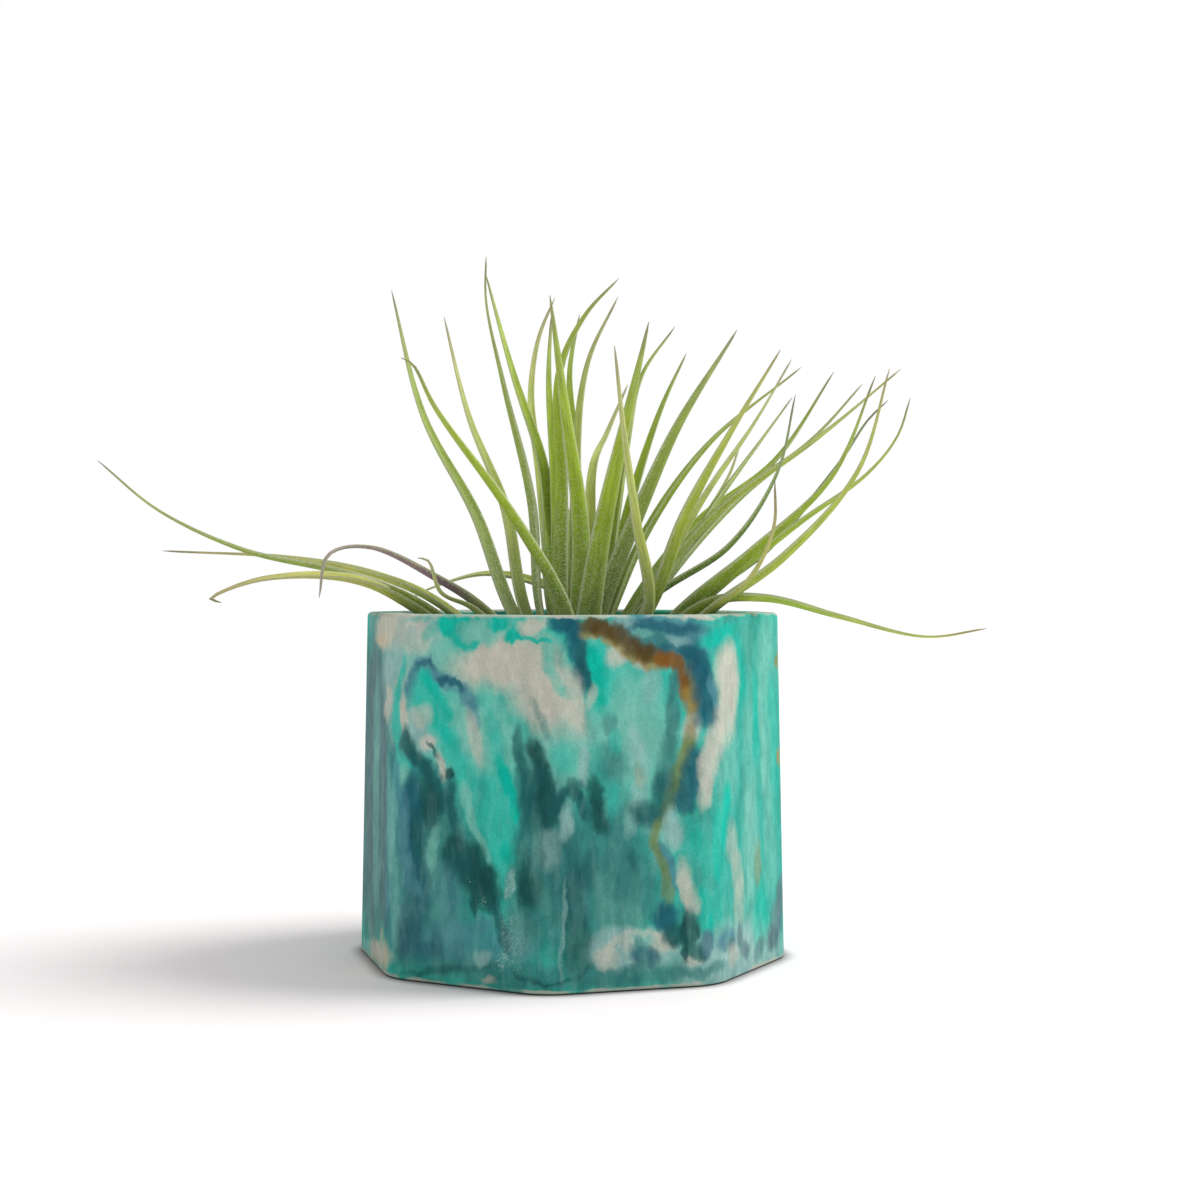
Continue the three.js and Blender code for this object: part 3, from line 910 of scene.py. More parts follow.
    seen(P.CREAM, 662, 942, 15, 10, -34, 90, 70),
    seen(P.CREAM, 692, 957, 11, 8, -20, 90, 80),
    seen(P.OCEAN, 643, 958, 15, 10, 20, 80, 85),
    seen(P.OCEAN, 640, 946, 5, 10, -10, 90, 60),
    *vein(P.TEAL, 4.0, (600, 974), (626, 970), (646, 967), share=70),
    seen(P.OCEAN, 663, 918, 13, 17, -14, 70, 95),
    seen(P.DEEP_TEAL, 672, 934, 14, 12, -30, 70, 95),
    seen(P.PINE, 688, 930, 10, 21, -4, 60, 100),
    seen(P.PINE, 683, 950, 4, 12, 0, 80, 90),
    *vein(P.DEEP_TEAL, 5.0, (690, 946), (698, 954), (706, 956)),
    seen(P.STEEL, 708, 942, 9, 15, 0, 70, 95),
    seen(P.SLATE, 708, 944, 8, 12, 0, 90, 60),
    seen(P.STEEL, 726, 941, 8, 11, 0, 70, 90),
    seen(P.SLATE, 738, 936, 3, 13, 4, 70, 80),
    *vein(P.SLATE, 2.6, (720, 946), (736, 948), (750, 951), (764, 944), (776, 932), share=85),
    seen(P.CREAM, 731, 956, 6, 9, 6, 95, 60),
    *vein(P.TEAL, 5.0, (590, 980), (640, 976), (690, 974), (726, 970), share=55),
)

# Where the sides that show are rubbed.
SCUFFS = (
    seen(P.CHALK, 507, 884, 5, 18, 12, 90, 80),
    seen(P.CHALK, 512, 940, 12, 30, -12, 100, 45),
    seen(P.CHALK, 503, 962, 9, 9, -30, 90, 100),
    seen(P.CHALK, 564, 930, 2, 40, 0, 100, 30),
    seen(P.CHALK, 467, 881, 2, 2, 0, 60, 100),
    seen(P.CHALK, 453, 904, 2, 2, 0, 60, 100),
    seen(P.CHALK, 481, 906, 3, 5, 0, 60, 90),
)


@dataclass(frozen=True)
class HiddenMarbling:
    """Swirls for the sides that no photograph shows, drawn at random in the manner of the others.

    Attributes:
        seed: Seeds the draw.
        first: The length round the pot at which they start, counted from the middle of the showing side.
        last: The length at which they end.
        vein_at: Where between the two a brown vein starts at the rim, as a share.
        vein_top: The height at which it starts.
        vein_run: The least and the most that a stretch of it runs to the right.
        vein_drop: The same for how far it drops.
        shake: The same for where a swirl lies in its own part of the round.
        lean: The same for its lean.
        soft: The same for its softness.
        share: The same for how much of it shows.
    """

    seed: int = 11
    first: float = 60.0
    last: float = 186.0
    vein_at: float = 0.4
    vein_top: float = 66.0
    vein_run: Pair = (0.0, 6.0)
    vein_drop: Pair = (3.0, 6.0)
    shake: Pair = (0.1, 0.9)
    lean: Pair = (-24.0, 24.0)
    soft: Pair = (0.55, 0.95)
    share: Pair = (0.75, 1.0)

    def swirls(self) -> list[Swirl]:
        """Draws the swirls in layers: teal low down, cream higher up, then turquoise plumes and dark flames.

        Returns:
            The swirls.
        """
        # The pigments, how many swirls, the heights of their middles, half their widths and their slimness.
        layers = (
            ((P.TEAL, P.DEEP_TEAL, P.TEAL), 12, (6, 28), (8, 13), (1.0, 1.7)),
            ((P.CREAM, P.SEAFOAM, P.CREAM, P.MIST), 12, (42, 60), (6, 10), (0.8, 1.4)),
            ((P.STEEL, P.SEAFOAM, P.OCEAN, P.AQUA), 12, (30, 62), (2.5, 5), (1.5, 3.0)),
            ((P.TURQUOISE, P.AQUA, P.SEAFOAM), 12, (24, 54), (2, 4.5), (2.2, 4.0)),
            ((P.PINE, P.DEEP_TEAL, P.OCEAN), 12, (8, 38), (2, 4.5), (2.0, 3.6)),
            ((P.CREAM, P.MIST), 6, (2, 6), (3, 6), (0.4, 0.7)),
        )
        draw = random.Random(self.seed)
        made = []
        for pigments, count, heights, half_widths, slimness in layers:
            for i in range(count):
                half_width = draw.uniform(*half_widths)
                made.append(Swirl(
                    pigments[i % len(pigments)],
                    lerp(self.first, self.last, (i + draw.uniform(*self.shake)) / count),
                    draw.uniform(*heights),
                    half_width,
                    half_width * draw.uniform(*slimness),
                    lean=draw.uniform(*self.lean),
                    soft=draw.uniform(*self.soft),
                    share=draw.uniform(*self.share),
                ))
        return made + self.brown_vein(draw)

    def brown_vein(self, draw: random.Random) -> list[Swirl]:
        """Lets a brown vein wander down from the rim, growing olive and slim.

        Args:
            draw: The seeded draw.

        Returns:
            The vein's swirls, one for each stretch.
        """
        overlap = 0.85
        pigments = (P.BROWN, P.BROWN, P.RUST, P.OCHRE, P.OLIVE, P.OLIVE, P.OLIVE)
        half_widths = (2.6, 2.4, 2.2, 2.0, 1.8, 1.5, 1.2)
        around, height = lerp(self.first, self.last, self.vein_at), self.vein_top
        made = []
        for pigment, half_width in zip(pigments, half_widths):
            run, drop = draw.uniform(*self.vein_run), draw.uniform(*self.vein_drop)
            made.append(Swirl(
                pigment,
                around + run / 2,
                height - drop / 2,
                half_width,
                math.hypot(run, drop) * overlap,
                lean=-math.degrees(math.atan2(run, drop)),
                soft=0.9,
            ))
            around, height = around + run, height - drop
        return made


@dataclass(frozen=True)
class MarbledPlaster:
    """Cast plaster with folded-in pigments, dry and finely sanded.

    Attributes:
        height: The pot's height.
        swirls: The swirls, from the lowest layer to the highest.
        scuffs: The rubbed places.
        drift: The size of a slow drift, and how far it carries the ground and the streaks.
        broad: The size of the widest ruffles in the swirls, and how far they carry a swirl's edge.
        middling: The same for the middling ruffles.
        fine: The same for the fine ruffles.
        feather: The width of the upright feathering at the swirls' edges, and how far it reaches up.
        ruffle_margin: The most that the ruffles are taken to carry a swirl's edge to one side.
        sheet_size: How many swirls one node group holds.
        smoothest: The roughness where the surface is smoothest.
        rougher: What is added to it where it is roughest.
        reflection: The strength of its reflections.
    """

    height: float
    swirls: tuple[Swirl, ...]
    scuffs: tuple[Swirl, ...]
    drift: Pair = (18.0, 6.0)
    broad: Pair = (11.0, 2.6)
    middling: Pair = (4.0, 2.2)
    fine: Pair = (1.1, 1.15)
    feather: Pair = (1.5, 1.2)
    ruffle_margin: float = 4.0
    sheet_size: int = 24
    smoothest: float = 0.68
    rougher: float = 0.14
    reflection: float = 0.1

    def near(self, swirls: Sequence[Swirl], side: int) -> list[Swirl]:
        """Picks the swirls that reach one of the pot's sides, those from beyond the back's seam too.

        Args:
            swirls: The swirls.
            side: The side's number.

        Returns:
            The swirls, moved once round the pot where they reach over the seam.
        """
        first = math.radians(OCTAGON.side_start(side)) * OCTAGON.reach - self.ruffle_margin
        last = math.radians(OCTAGON.side_start(side + 1)) * OCTAGON.reach + self.ruffle_margin
        turned = [
            replace(swirl, around=swirl.around + lap * OCTAGON.full)
            for swirl in swirls
            for lap in (-1, 0, 1)
        ]
        return [swirl for swirl in turned if swirl.reaches(first, last)]

    def material(self, side: int | None) -> Material:
        """Lays out the material of one side, which holds only the swirls that reach it.

        Args:
            side: The side's number, or None for the floor and the underside, which have no swirls.

        Returns:
            The material.
        """
        bench = Bench.for_material("marbled_plaster_level" if side is None else f"marbled_plaster_{side}")
        place = bench.position()
        drift_size, drift_carry = self.drift
        drift = bench.centred(bench.noise(place, drift_size, 1.0, colour=True))
        drifted = bench.vector("ADD", place, bench.scaled(drift, drift_carry))
        ruffled = self.ruffled(bench, place, drifted)
        colour = self.ground(bench, drifted)
        if side is not None:
            swirls = self.near(self.swirls, side)
            for first in range(0, len(swirls), self.sheet_size):
                sheet = self.sheet(swirls[first : first + self.sheet_size])
                laid = bench.node("Group", {"Place": ruffled, "Under": colour}, node_tree=sheet)
                colour = laid.outputs["Colour"]
        colour = self.streaked(bench, drifted, colour)
        colour = self.mottled(bench, place, colour)
        if side is not None:
            colour = self.scuffed(bench, place, ruffled, colour, self.near(self.scuffs, side))
        colour = self.edges(bench, place, self.inside(bench, place, colour))
        normal = self.grain(bench, place)
        roughness = bench.math("MULTIPLY_ADD", bench.noise(place, 5.0), self.rougher, self.smoothest)
        return bench.surface(colour, roughness, normal, Specular_IOR_Level=self.reflection)

    def sheet(self, swirls: Sequence[Swirl]) -> bpy.types.NodeTree:
        """Gathers a few dozen swirls in a node group, which keeps each tree small and quick to build.

        Args:
            swirls: The swirls.

        Returns:
            The group, which takes a place and a colour and gives the colour with the swirls on it.
        """
        group = bpy.data.node_groups.new("swirl_sheet", "ShaderNodeTree")
        group.interface.new_socket("Place", in_out="INPUT", socket_type="NodeSocketVector")
        group.interface.new_socket("Under", in_out="INPUT", socket_type="NodeSocketColor")
        group.interface.new_socket("Colour", in_out="OUTPUT", socket_type="NodeSocketColor")
        bench = Bench(group)
        entry = group.nodes.new("NodeGroupInput")
        colour = entry.outputs["Under"]
        for swirl in swirls:
            colour = swirl.lay(bench, entry.outputs["Place"], colour)
        bench.feed(group.nodes.new("NodeGroupOutput").inputs["Colour"], colour)
        return group

    def ruffled(self, bench: Bench, place: Socket, drifted: Socket) -> Socket:
        """Unrolls the pot and ruffles the result, so that swirls get liquid edges.

        Args:
            bench: The material's bench.
            place: The place in millimetres.
            drifted: The place, gently drifted. The ground and the last ruffle both wait for it, which makes
                the renderer mix each swirl at once, where it would otherwise hold them all and run out of
                memory.

        Returns:
            A vector of the length round the pot, the height and one.
        """
        ruffle_share, ruffle_detail = 0.7, 2.6
        feather_share, feather_detail = 0.14, 1.0
        axes = bench.node("SeparateXYZ", {0: place}).outputs
        turn = bench.math("ARCTAN2", axes["X"], bench.math("MULTIPLY", axes["Y"], -1.0))
        last_turn = math.radians(OCTAGON.side_start(OCTAGON.sides))
        turned_on = bench.math("WRAP", turn, last_turn, last_turn - math.tau)
        around = bench.math("MULTIPLY", turned_on, OCTAGON.reach)
        unrolled = bench.node("CombineXYZ", {"X": around, "Y": axes["Z"], "Z": 1.0}).outputs[0]
        for size, carry in (self.broad, self.middling, self.fine):
            noise = bench.noise(bench.drawn_out(place, ruffle_share), size, ruffle_detail, colour=True)
            shift = bench.vector("MULTIPLY", bench.centred(noise), (carry, carry, 0.0))
            unrolled = bench.vector("ADD", unrolled, shift)
        width, reach = self.feather
        upright = bench.noise(bench.drawn_out(drifted, feather_share), width, feather_detail)
        lift = bench.math("MULTIPLY_ADD", upright, reach, -reach / 2)
        return bench.vector("ADD", unrolled, bench.node("CombineXYZ", {"Y": lift}).outputs[0])

    def ground(self, bench: Bench, drifted: Socket) -> Socket:
        """Colours what no swirl covers, inside the pot too.

        Args:
            bench: The material's bench.
            drifted: The place, gently drifted.

        Returns:
            The colour's socket.
        """
        stops = ((0.25, Pigment.TEAL), (0.42, Pigment.LAGOON_AND_PAINTED_SHADE), (0.56, Pigment.AQUA), (0.7, Pigment.SEAFOAM))
        clouds = bench.noise(bench.drawn_out(drifted, 0.5), size=9.0)
        ramp = bench.node("ValToRGB", {"Fac": clouds})
        elements = ramp.color_ramp.elements
        for stop, _ in stops[len(elements):]:
            elements.new(stop)
        for element, (stop, pigment) in zip(elements, stops):
            element.position = stop
            element.color = pigment.rgba
        return ramp.outputs["Color"]

    def streaked(self, bench: Bench, drifted: Socket, under: Socket) -> Socket:
        """Draws soft upright streaks through the swirls, where the wet plaster ran down the mould.

        Args:
            bench: The material's bench.
            drifted: The place, gently drifted.
            under: The colour so far.

        Returns:
            The colour with the streaks.
        """
        # They weaken from the first share of the pot's height to the second, to a part of their strength.
        whole_to, weak_from, weakest = 0.5, 0.85, 0.25
        upright_share = 0.16
        low_down = bench.ramp(bench.height(drifted), weak_from * self.height, whole_to * self.height)
        strength = bench.math("MULTIPLY_ADD", low_down, 1 - weakest, weakest)
        colour = under
        # Their width, pigment, strength, and a shift that sets each kind apart.
        for width, pigment, share, shift in (
            (3.6, Pigment.SEAFOAM, 0.18, 31.0),
            (3.2, Pigment.DEEP_TEAL, 0.18, 77.0),
            (1.4, Pigment.MIST, 0.08, 12.0),
            (1.2, Pigment.PINE, 0.1, 55.0),
        ):
            moved = bench.vector("ADD", drifted, (shift, 0.0, shift))
            level = bench.noise(bench.drawn_out(moved, upright_share), width, 1.0)
            streak = bench.math("MULTIPLY", bench.ramp(level, 0.5, 0.7), share)
            colour = bench.mix(bench.math("MULTIPLY", streak, strength), colour, pigment.rgba)
        return colour

    def scuffed(
        self, bench: Bench, place: Socket, ruffled: Socket, under: Socket, scuffs: Sequence[Swirl]
    ) -> Socket:
        """Sprinkles chalky specks over the places that were rubbed.

        Args:
            bench: The material's bench.
            place: The place in millimetres.
            ruffled: The place on the unrolled pot.
            under: The colour so far.
            scuffs: Where the pot was rubbed.

        Returns:
            The colour with the specks.
        """
        if not scuffs:
            return under
        rubbed: Input = (0.0, 0.0, 0.0, 1.0)
        for scuff in scuffs:
            rubbed = scuff.lay(bench, ruffled, rubbed)
        specks = bench.ramp(bench.noise(place, size=0.36, detail=3.0), 0.5, 0.62)
        return bench.mix(bench.math("MULTIPLY", specks, rubbed), under, Pigment.MIST.rgba)

    def mottled(self, bench: Bench, place: Socket, under: Socket) -> Socket:
        """Varies the colour in small clouds and grains, as undissolved pigment does.

        Args:
            bench: The material's bench.
            place: The place in millimetres.
            under: The colour so far.

        Returns:
            The varied colour.
        """
        cloud_strength, cloud_dark, cloud_pale = 0.3, (0.26, 0.32, 0.34, 1.0), (0.74, 0.74, 0.72, 1.0)
        grain_strength, grain_dark, grain_pale = 0.26, (0.4, 0.4, 0.4, 1.0), (0.6, 0.6, 0.6, 1.0)
        clouds = bench.ramp(bench.noise(bench.drawn_out(place, 0.62), size=2.2, detail=4.0), 0.38, 0.62)
        clouded = bench.mix(clouds, cloud_dark, cloud_pale)
        colour = bench.mix(cloud_strength, under, clouded, "SOFT_LIGHT")
        grains = bench.ramp(bench.noise(place, size=0.42, detail=1.0), 0.34, 0.66)
        grained = bench.mix(grains, grain_dark, grain_pale)
        return bench.mix(grain_strength, colour, grained, "OVERLAY")

    def inside(self, bench: Bench, place: Socket, under: Socket) -> Socket:
        """Paints shade on the wall inside the pot, greying it towards slate.

        Args:
            bench: The material's bench.
            place: The place in millimetres.
            under: The colour so far.

        Returns:
            The colour with painted shade on the inner wall.
        """
        # How far from the axis and how high the outer skin starts and the painted shade on the inner wall
        # ends.
        skin_beyond, shade_within = 37.9, 37.3
        skin_above, shade_below = 67.4, 66.2
        inner_shade_strength = 0.6
        height = bench.height(place)
        outward = bench.vector("LENGTH", bench.drawn_out(place, 0.0))
        is_inner = bench.ramp(outward, skin_beyond, shade_within)
        painted_inner_shade = bench.math("MULTIPLY", is_inner, bench.ramp(height, skin_above, shade_below))
        return bench.mix(bench.math("MULTIPLY", painted_inner_shade, inner_shade_strength), under, Pigment.SLATE.rgba)

    def edges(self, bench: Bench, place: Socket, under: Socket) -> Socket:
        """Lightens the sanded rim and foot in a thin and broken line, and paints shade in a dark line along
        the very bottom, where the foot meets the floor.

        Args:
            bench: The material's bench.
            place: The place in millimetres.
            under: The colour so far.

        Returns:
            The colour with worn edges, and painted shade along the very bottom.
        """
        rim_starts, rim_whole, rim_waver = self.height - 0.65, self.height - 0.25, 1.6
        foot_ends, foot_whole, foot_waver = 0.95, 0.7, 0.9
        # The dark line at the very bottom is painted shade, where the foot meets the floor.
        painted_shade_ends, painted_shade_whole, painted_shade_colour = 0.42, 0.2, linear("333c3c")
        wear_strength, painted_shade_strength = 0.72, 0.9
        height = bench.height(place)
        waver = bench.math("SUBTRACT", bench.noise(place, size=2.4), 0.5)
        rim = bench.ramp(bench.math("MULTIPLY_ADD", waver, rim_waver, height), rim_starts, rim_whole)
        foot = bench.ramp(bench.math("MULTIPLY_ADD", waver, foot_waver, height), foot_ends, foot_whole)
        either = bench.math("MAXIMUM", rim, foot)
        worn = bench.math("MULTIPLY", either, bench.ramp(bench.noise(place, size=7.0), 0.34, 0.56))
        colour = bench.mix(bench.math("MULTIPLY", worn, wear_strength), under, Pigment.CREAM.rgba)
        # Painted shade: a dark line along the very bottom of the foot.
        contact = bench.ramp(height, painted_shade_ends, painted_shade_whole, painted_shade_strength)
        return bench.mix(contact, colour, painted_shade_colour)

    def grain(self, bench: Bench, place: Socket) -> Socket:
        """Gives the surface its sanded grain and a few pinholes.

        Args:
            bench: The material's bench.
            place: The place in millimetres.

        Returns:
            The bumped normal.
        """
        pinhole_spacing, pinhole_floor, pinhole_edge = 4.2, 0.02, 0.05
        sanded = bench.bump(bench.noise(place, size=0.5, detail=3.0), depth=0.05, strength=0.5)
        cast = bench.bump(bench.noise(place, size=9.0), depth=0.35, strength=0.5, under=sanded)
        cells = bench.node("TexVoronoi", {"Vector": place, "Scale": 1 / pinhole_spacing})
        pinholes = bench.ramp(cells.outputs["Distance"], pinhole_floor, pinhole_edge)
        return bench.bump(pinholes, depth=0.15, strength=0.6, under=cast)


@dataclass
class Pot:
    """The eight-sided pot: an open cup with thick walls.

    Attributes:
        wall: The wall's thickness at the rim.
        wall_at_floor: Its thickness at the floor.
        floor: The floor's thickness.
        flat_at_foot: The distance from the middle to a flat side at the foot.
        flat_at_rim: The same at the rim.
        corner_radius: The radius of the upright corners.
        corner_steps: The steps in each corner.
        foot_radius: The rounding under the foot.
        rim_radius: The rounding of the rim, on both sides.
        floor_fillet: The rounding between floor and wall.
        rim_steps: The steps in the rim's rounding.
        foot_steps: The steps in the rounding under the foot.
        fillet_steps: The steps between floor and wall.
        sharp_over: The angle between faces over which an edge is rounded, in degrees.
        smooth_under: The angle up to which faces are shaded smooth, in degrees.
        height: Its height, which the frame gives.
    """

    wall: float = 5.0
    wall_at_floor: float = 7.0
    floor: float = 6.0
    flat_at_foot: float = 40.0
    flat_at_rim: float = 38.75
    corner_radius: float = 9.5
    corner_steps: int = 10
    foot_radius: float = 0.4
    rim_radius: float = 0.9
    floor_fillet: float = 2.0
    rim_steps: int = 5
    foot_steps: int = 3
    fillet_steps: int = 4
    sharp_over: float = 40.0
    smooth_under: float = 35.0
    height: float = field(init=False)

    def __post_init__(self) -> None:
        """Takes the pot's height from the frame."""
        low, high = node_box("pot")
        self.height = high.z - low.z

    def build(self) -> Piece:
        """Models the pot from an eight-sided cylinder.

        Returns:
            The pot.
        """
        pot = octagonal_block(OCTAGON.to_corner(self.flat_at_foot), 0.0, self.height)
        pot.name = pot.data.name = "marbled_pot"
        begin_edit(pot)
        round_corners(pot, self.corner_radius, self.corner_steps)
        pick(pot, "FACE", lambda face: lies_at(face, self.height))
        scale_picked(self.flat_at_rim / self.flat_at_foot)
        bpy.ops.mesh.inset(thickness=self.wall * MM, depth=0)
        down = -(self.height - self.floor) * MM
        bpy.ops.mesh.extrude_region_move(TRANSFORM_OT_translate={"value": (0, 0, down)})
        flat_outside = lerp(self.flat_at_foot, self.flat_at_rim, self.floor / self.height)
        scale_picked((flat_outside - self.wall_at_floor) / (self.flat_at_rim - self.wall))
        for level, radius, steps in (
            (self.height, self.rim_radius, self.rim_steps),
            (0.0, self.foot_radius, self.foot_steps),
            (self.floor, self.floor_fillet, self.fillet_steps),
        ):
            self.round_edges(pot, level, radius, steps)
        end_edit()
        take_up(pot)
        bpy.ops.object.shade_smooth_by_angle(angle=math.radians(self.smooth_under))
        return pot

    def round_edges(self, pot: Piece, level: float, radius: float, steps: int) -> None:
        """Rounds the sharp edges that lie at one height, in a number of steps."""
        sharp = math.radians(self.sharp_over)
        pick(pot, "EDGE", lambda edge: lies_at(edge, level) and edge.calc_face_angle(0.0) > sharp)
        bpy.ops.mesh.bevel(offset=radius * MM, segments=steps)

    def dress(self, pot: Piece) -> None:
        """Gives the pot its marbling and hands it in.

        Args:
            pot: The pot. Its floor and underside, the only large level faces, get the last material.
        """
        finish = MarbledPlaster(self.height, (*HiddenMarbling().swirls(), *SHOWING_SWIRLS), SCUFFS)
        sides = [finish.material(side) for side in range(OCTAGON.sides)]
        hand_in(pot, "pot", "marbled_plaster", *sides, finish.material(None))
        large = (10 * MM) ** 2
        for face in pot.data.polygons:
            is_level = abs(face.normal.z) > 0.99 and face.area > large
            side = OCTAGON.side_at(face.center.x, face.center.y)
            face.material_index = OCTAGON.sides if is_level else side


@dataclass(frozen=True)
class PebbleStone:
    """Small river pebbles in greys and tans. Each pebble carries its own shade as an attribute.

    Attributes:
        light: The palest stone.
        dark: The darkest stone.
        warm: The tan that some stones lean to.
        warming: How far they lean to it at most.
        speckling: How strongly the stones are speckled with the dark colour.
        banding: How strongly they are banded with the light colour.
        band_lie: How the bands are squeezed along each axis.
        roughness: Their roughness.
    """

    light: str = "a9a396"
    dark: str = "4f4b45"
    warm: str = "8f7a5e"
    warming: float = 0.7
    speckling: float = 0.28
    banding: float = 0.2
    band_lie: Point = (0.5, 1.0, 2.2)
    roughness: float = 0.72

    def material(self) -> Material:
        """Lays out the material.

        Returns:
            The material.
        """
        bench = Bench.for_material("pebble_stone")
        place = bench.position()
        shade = bench.attribute("shade", "Fac")
        colour = bench.mix(shade, linear(self.dark), linear(self.light))
        warmth = bench.ramp(bench.math("FRACT", bench.math("MULTIPLY", shade, 7.0)), 0.5, 1.0)
        colour = bench.mix(bench.math("MULTIPLY", warmth, self.warming), colour, linear(self.warm))
        speckle = bench.ramp(bench.noise(place, size=0.45), 0.42, 0.62)
        colour = bench.mix(bench.math("MULTIPLY", speckle, self.speckling), colour, linear(self.dark))
        bedded = bench.vector("MULTIPLY", place, self.band_lie)
        bands = bench.ramp(bench.noise(bedded, size=2.2, detail=3.0), 0.4, 0.62)
        colour = bench.mix(bench.math("MULTIPLY", bands, self.banding), colour, linear(self.light))
        normal = bench.bump(bench.noise(place, size=0.6, detail=3.0), depth=0.12, strength=0.6)
        return bench.surface(colour, self.roughness, normal)


@dataclass
class PebbleBed:
    """The pebbles that hold the plant's foot: a plug that fills the pot, under two loose layers of stones.

    Attributes:
        spacing: The distance between neighbouring pebbles.
        smallest: The smallest pebble's half-length.
        largest: The largest one's.
        clearance: The gap that the stones keep to the pot's wall and to the stem.
        seed: Seeds the jitter.
        stem_radius: The stem's radius between the stones.
        grid_reach: How far from the middle stones are tried.
        wall: How far the pot's inner wall lies inside the outline where the stones are.
        shake: How far a stone is shaken out of the grid, to each side.
        lift: The share of that by which it is shaken up or down.
        depths: How deep the lower layer and the upper one lie, over the largest half-length.
        upper_shift: How far the upper layer's grid is moved, over the spacing.
        tilt: How far a stone is tilted at most, in radians.
    """

    spacing: float = 5.0
    smallest: float = 2.3
    largest: float = 3.3
    clearance: float = 0.4
    seed: int = 5
    stem_radius: float = 5.2
    grid_reach: float = 40.0
    wall: float = 6.6
    shake: float = 0.9
    lift: float = 0.4
    depths: Pair = (1.8, 1.05)
    upper_shift: Pair = (0.5, 0.3)
    tilt: float = 0.35

    def build(self) -> Piece:
        """Models one stone and the plug, and copies the stone over the plug.

        Returns:
            The joined bed.
        """
        low, high = node_box("pebble_bed")
        plug = self.plug(low, high)
        stone = self.stone()
        draw = random.Random(self.seed)
        stones = []
        for place, size in self.places(draw, high.z):
            stones.append(self.copied(stone, draw, place, size))
        bpy.data.objects.remove(stone)
        return join([plug, *stones], "pebble_layer")

    def plug(self, low: Vector, high: Vector) -> Piece:
        """Models the fill under the stones: an eight-sided block with rounded corners, narrower at its foot.

        Args:
            low: The lowest corner of the bed's box.
            high: The highest corner.

        Returns:
            The plug.
        """
        gap, sinking, corner, corner_steps, narrowing, shade = 1.0, 1.6 * self.largest, 4.0, 3, 0.94, 0.25
        plug = octagonal_block((high.x - low.x) / 2 - gap, low.z, high.z - sinking)
        begin_edit(plug)
        round_corners(plug, corner, corner_steps)
        pick(plug, "FACE", lambda face: lies_at(face, low.z))
        scale_picked(narrowing)
        end_edit()
        self.shade_all(plug, shade)
        return plug

    def stone(self) -> Piece:
        """Models the pebble that is copied: a cube rounded by one smooth subdivision, flattened and worn.

        Returns:
            The pebble, about a unit long, in metres.
        """
        cube_side = 1.25
        flattening = (1.0, 0.84, 0.68)
        start_alone()
        bpy.ops.mesh.primitive_cube_add(size=cube_side)
        stone = bpy.context.object
        bpy.ops.object.mode_set(mode="EDIT")
        bpy.ops.mesh.select_all(action="SELECT")
        bpy.ops.mesh.subdivide(number_cuts=2, smoothness=1.0)
        bpy.ops.transform.resize(value=flattening, center_override=(0, 0, 0))
        bpy.ops.mesh.vertices_smooth(factor=0.5, repeat=1)
        end_edit()
        bpy.ops.object.shade_smooth()
        return stone

    def places(self, draw: random.Random, top: float) -> Iterable[tuple[Point, float]]:
        """Spreads the stones over a hexagonal grid, shaken, in two layers.

        Args:
            draw: The seeded draw.
            top: The height that no stone passes.

        Yields:
            Each stone's middle and half-length.
        """
        rows = int(self.grid_reach / self.spacing)
        row_step = math.sqrt(3) / 2
        for layer, depth in enumerate(self.depths):
            shift_x, shift_y = (layer * shift for shift in self.upper_shift)
            for row in range(-rows, rows + 1):
                for column in range(-rows, rows + 1):
                    size = draw.uniform(self.smallest, self.largest)
                    shaken = [draw.uniform(-self.shake, self.shake) for _ in range(3)]
                    x = (column + row / 2 + shift_x) * self.spacing + shaken[0]
                    y = (row * row_step + shift_y) * self.spacing + shaken[1]
                    if self.reaches_wall(x, y, size) or self.reaches_stem(x, y, size):
                        continue
                    yield (x, y, top - self.largest * depth + shaken[2] * self.lift), size

    def reaches_wall(self, x: float, y: float, size: float) -> bool:
        """Says whether a stone would touch the pot's inner wall."""
        room = OCTAGON.flat - self.wall - size - self.clearance
        return any(x * math.cos(facing) + y * math.sin(facing) > room for facing in OCTAGON.facings())

    def reaches_stem(self, x: float, y: float, size: float) -> bool:
        """Says whether a stone would touch the stem."""
        room = self.stem_radius + size * 0.9 + self.clearance
        return math.hypot(x - STEM_X, y - STEM_Y) < room

    def copied(self, stone: Piece, draw: random.Random, place: Point, size: float) -> Piece:
        """Copies the stone to a place, turned at random.

        Args:
            stone: The stone.
            draw: The seeded draw.
            place: The middle of the copy.
            size: Its half-length.

        Returns:
            The copy, with its place in its mesh.
        """
        copy = copy_of(stone)
        scale = Vector((1.0, draw.uniform(0.85, 1.1), draw.uniform(0.85, 1.15))) * size * MM
        tilt = self.tilt
        turn = Euler((draw.uniform(-tilt, tilt), draw.uniform(-tilt, tilt), draw.uniform(0, math.tau)))
        copy.data.transform(Matrix.LocRotScale(Vector(place) * MM, turn, scale))
        self.shade_all(copy, draw.random())
        return copy

    def shade_all(self, piece: Piece, shade: float) -> None:
        """Writes one shade to all of a piece's points."""
        write_attribute(piece, "shade", "FLOAT", np.full(len(piece.data.vertices), shade))

    def dress(self, bed: Piece) -> None:
        """Gives the bed its stone finish and hands it in."""
        hand_in(bed, "pebble_bed", "pebbles", PebbleStone().material())


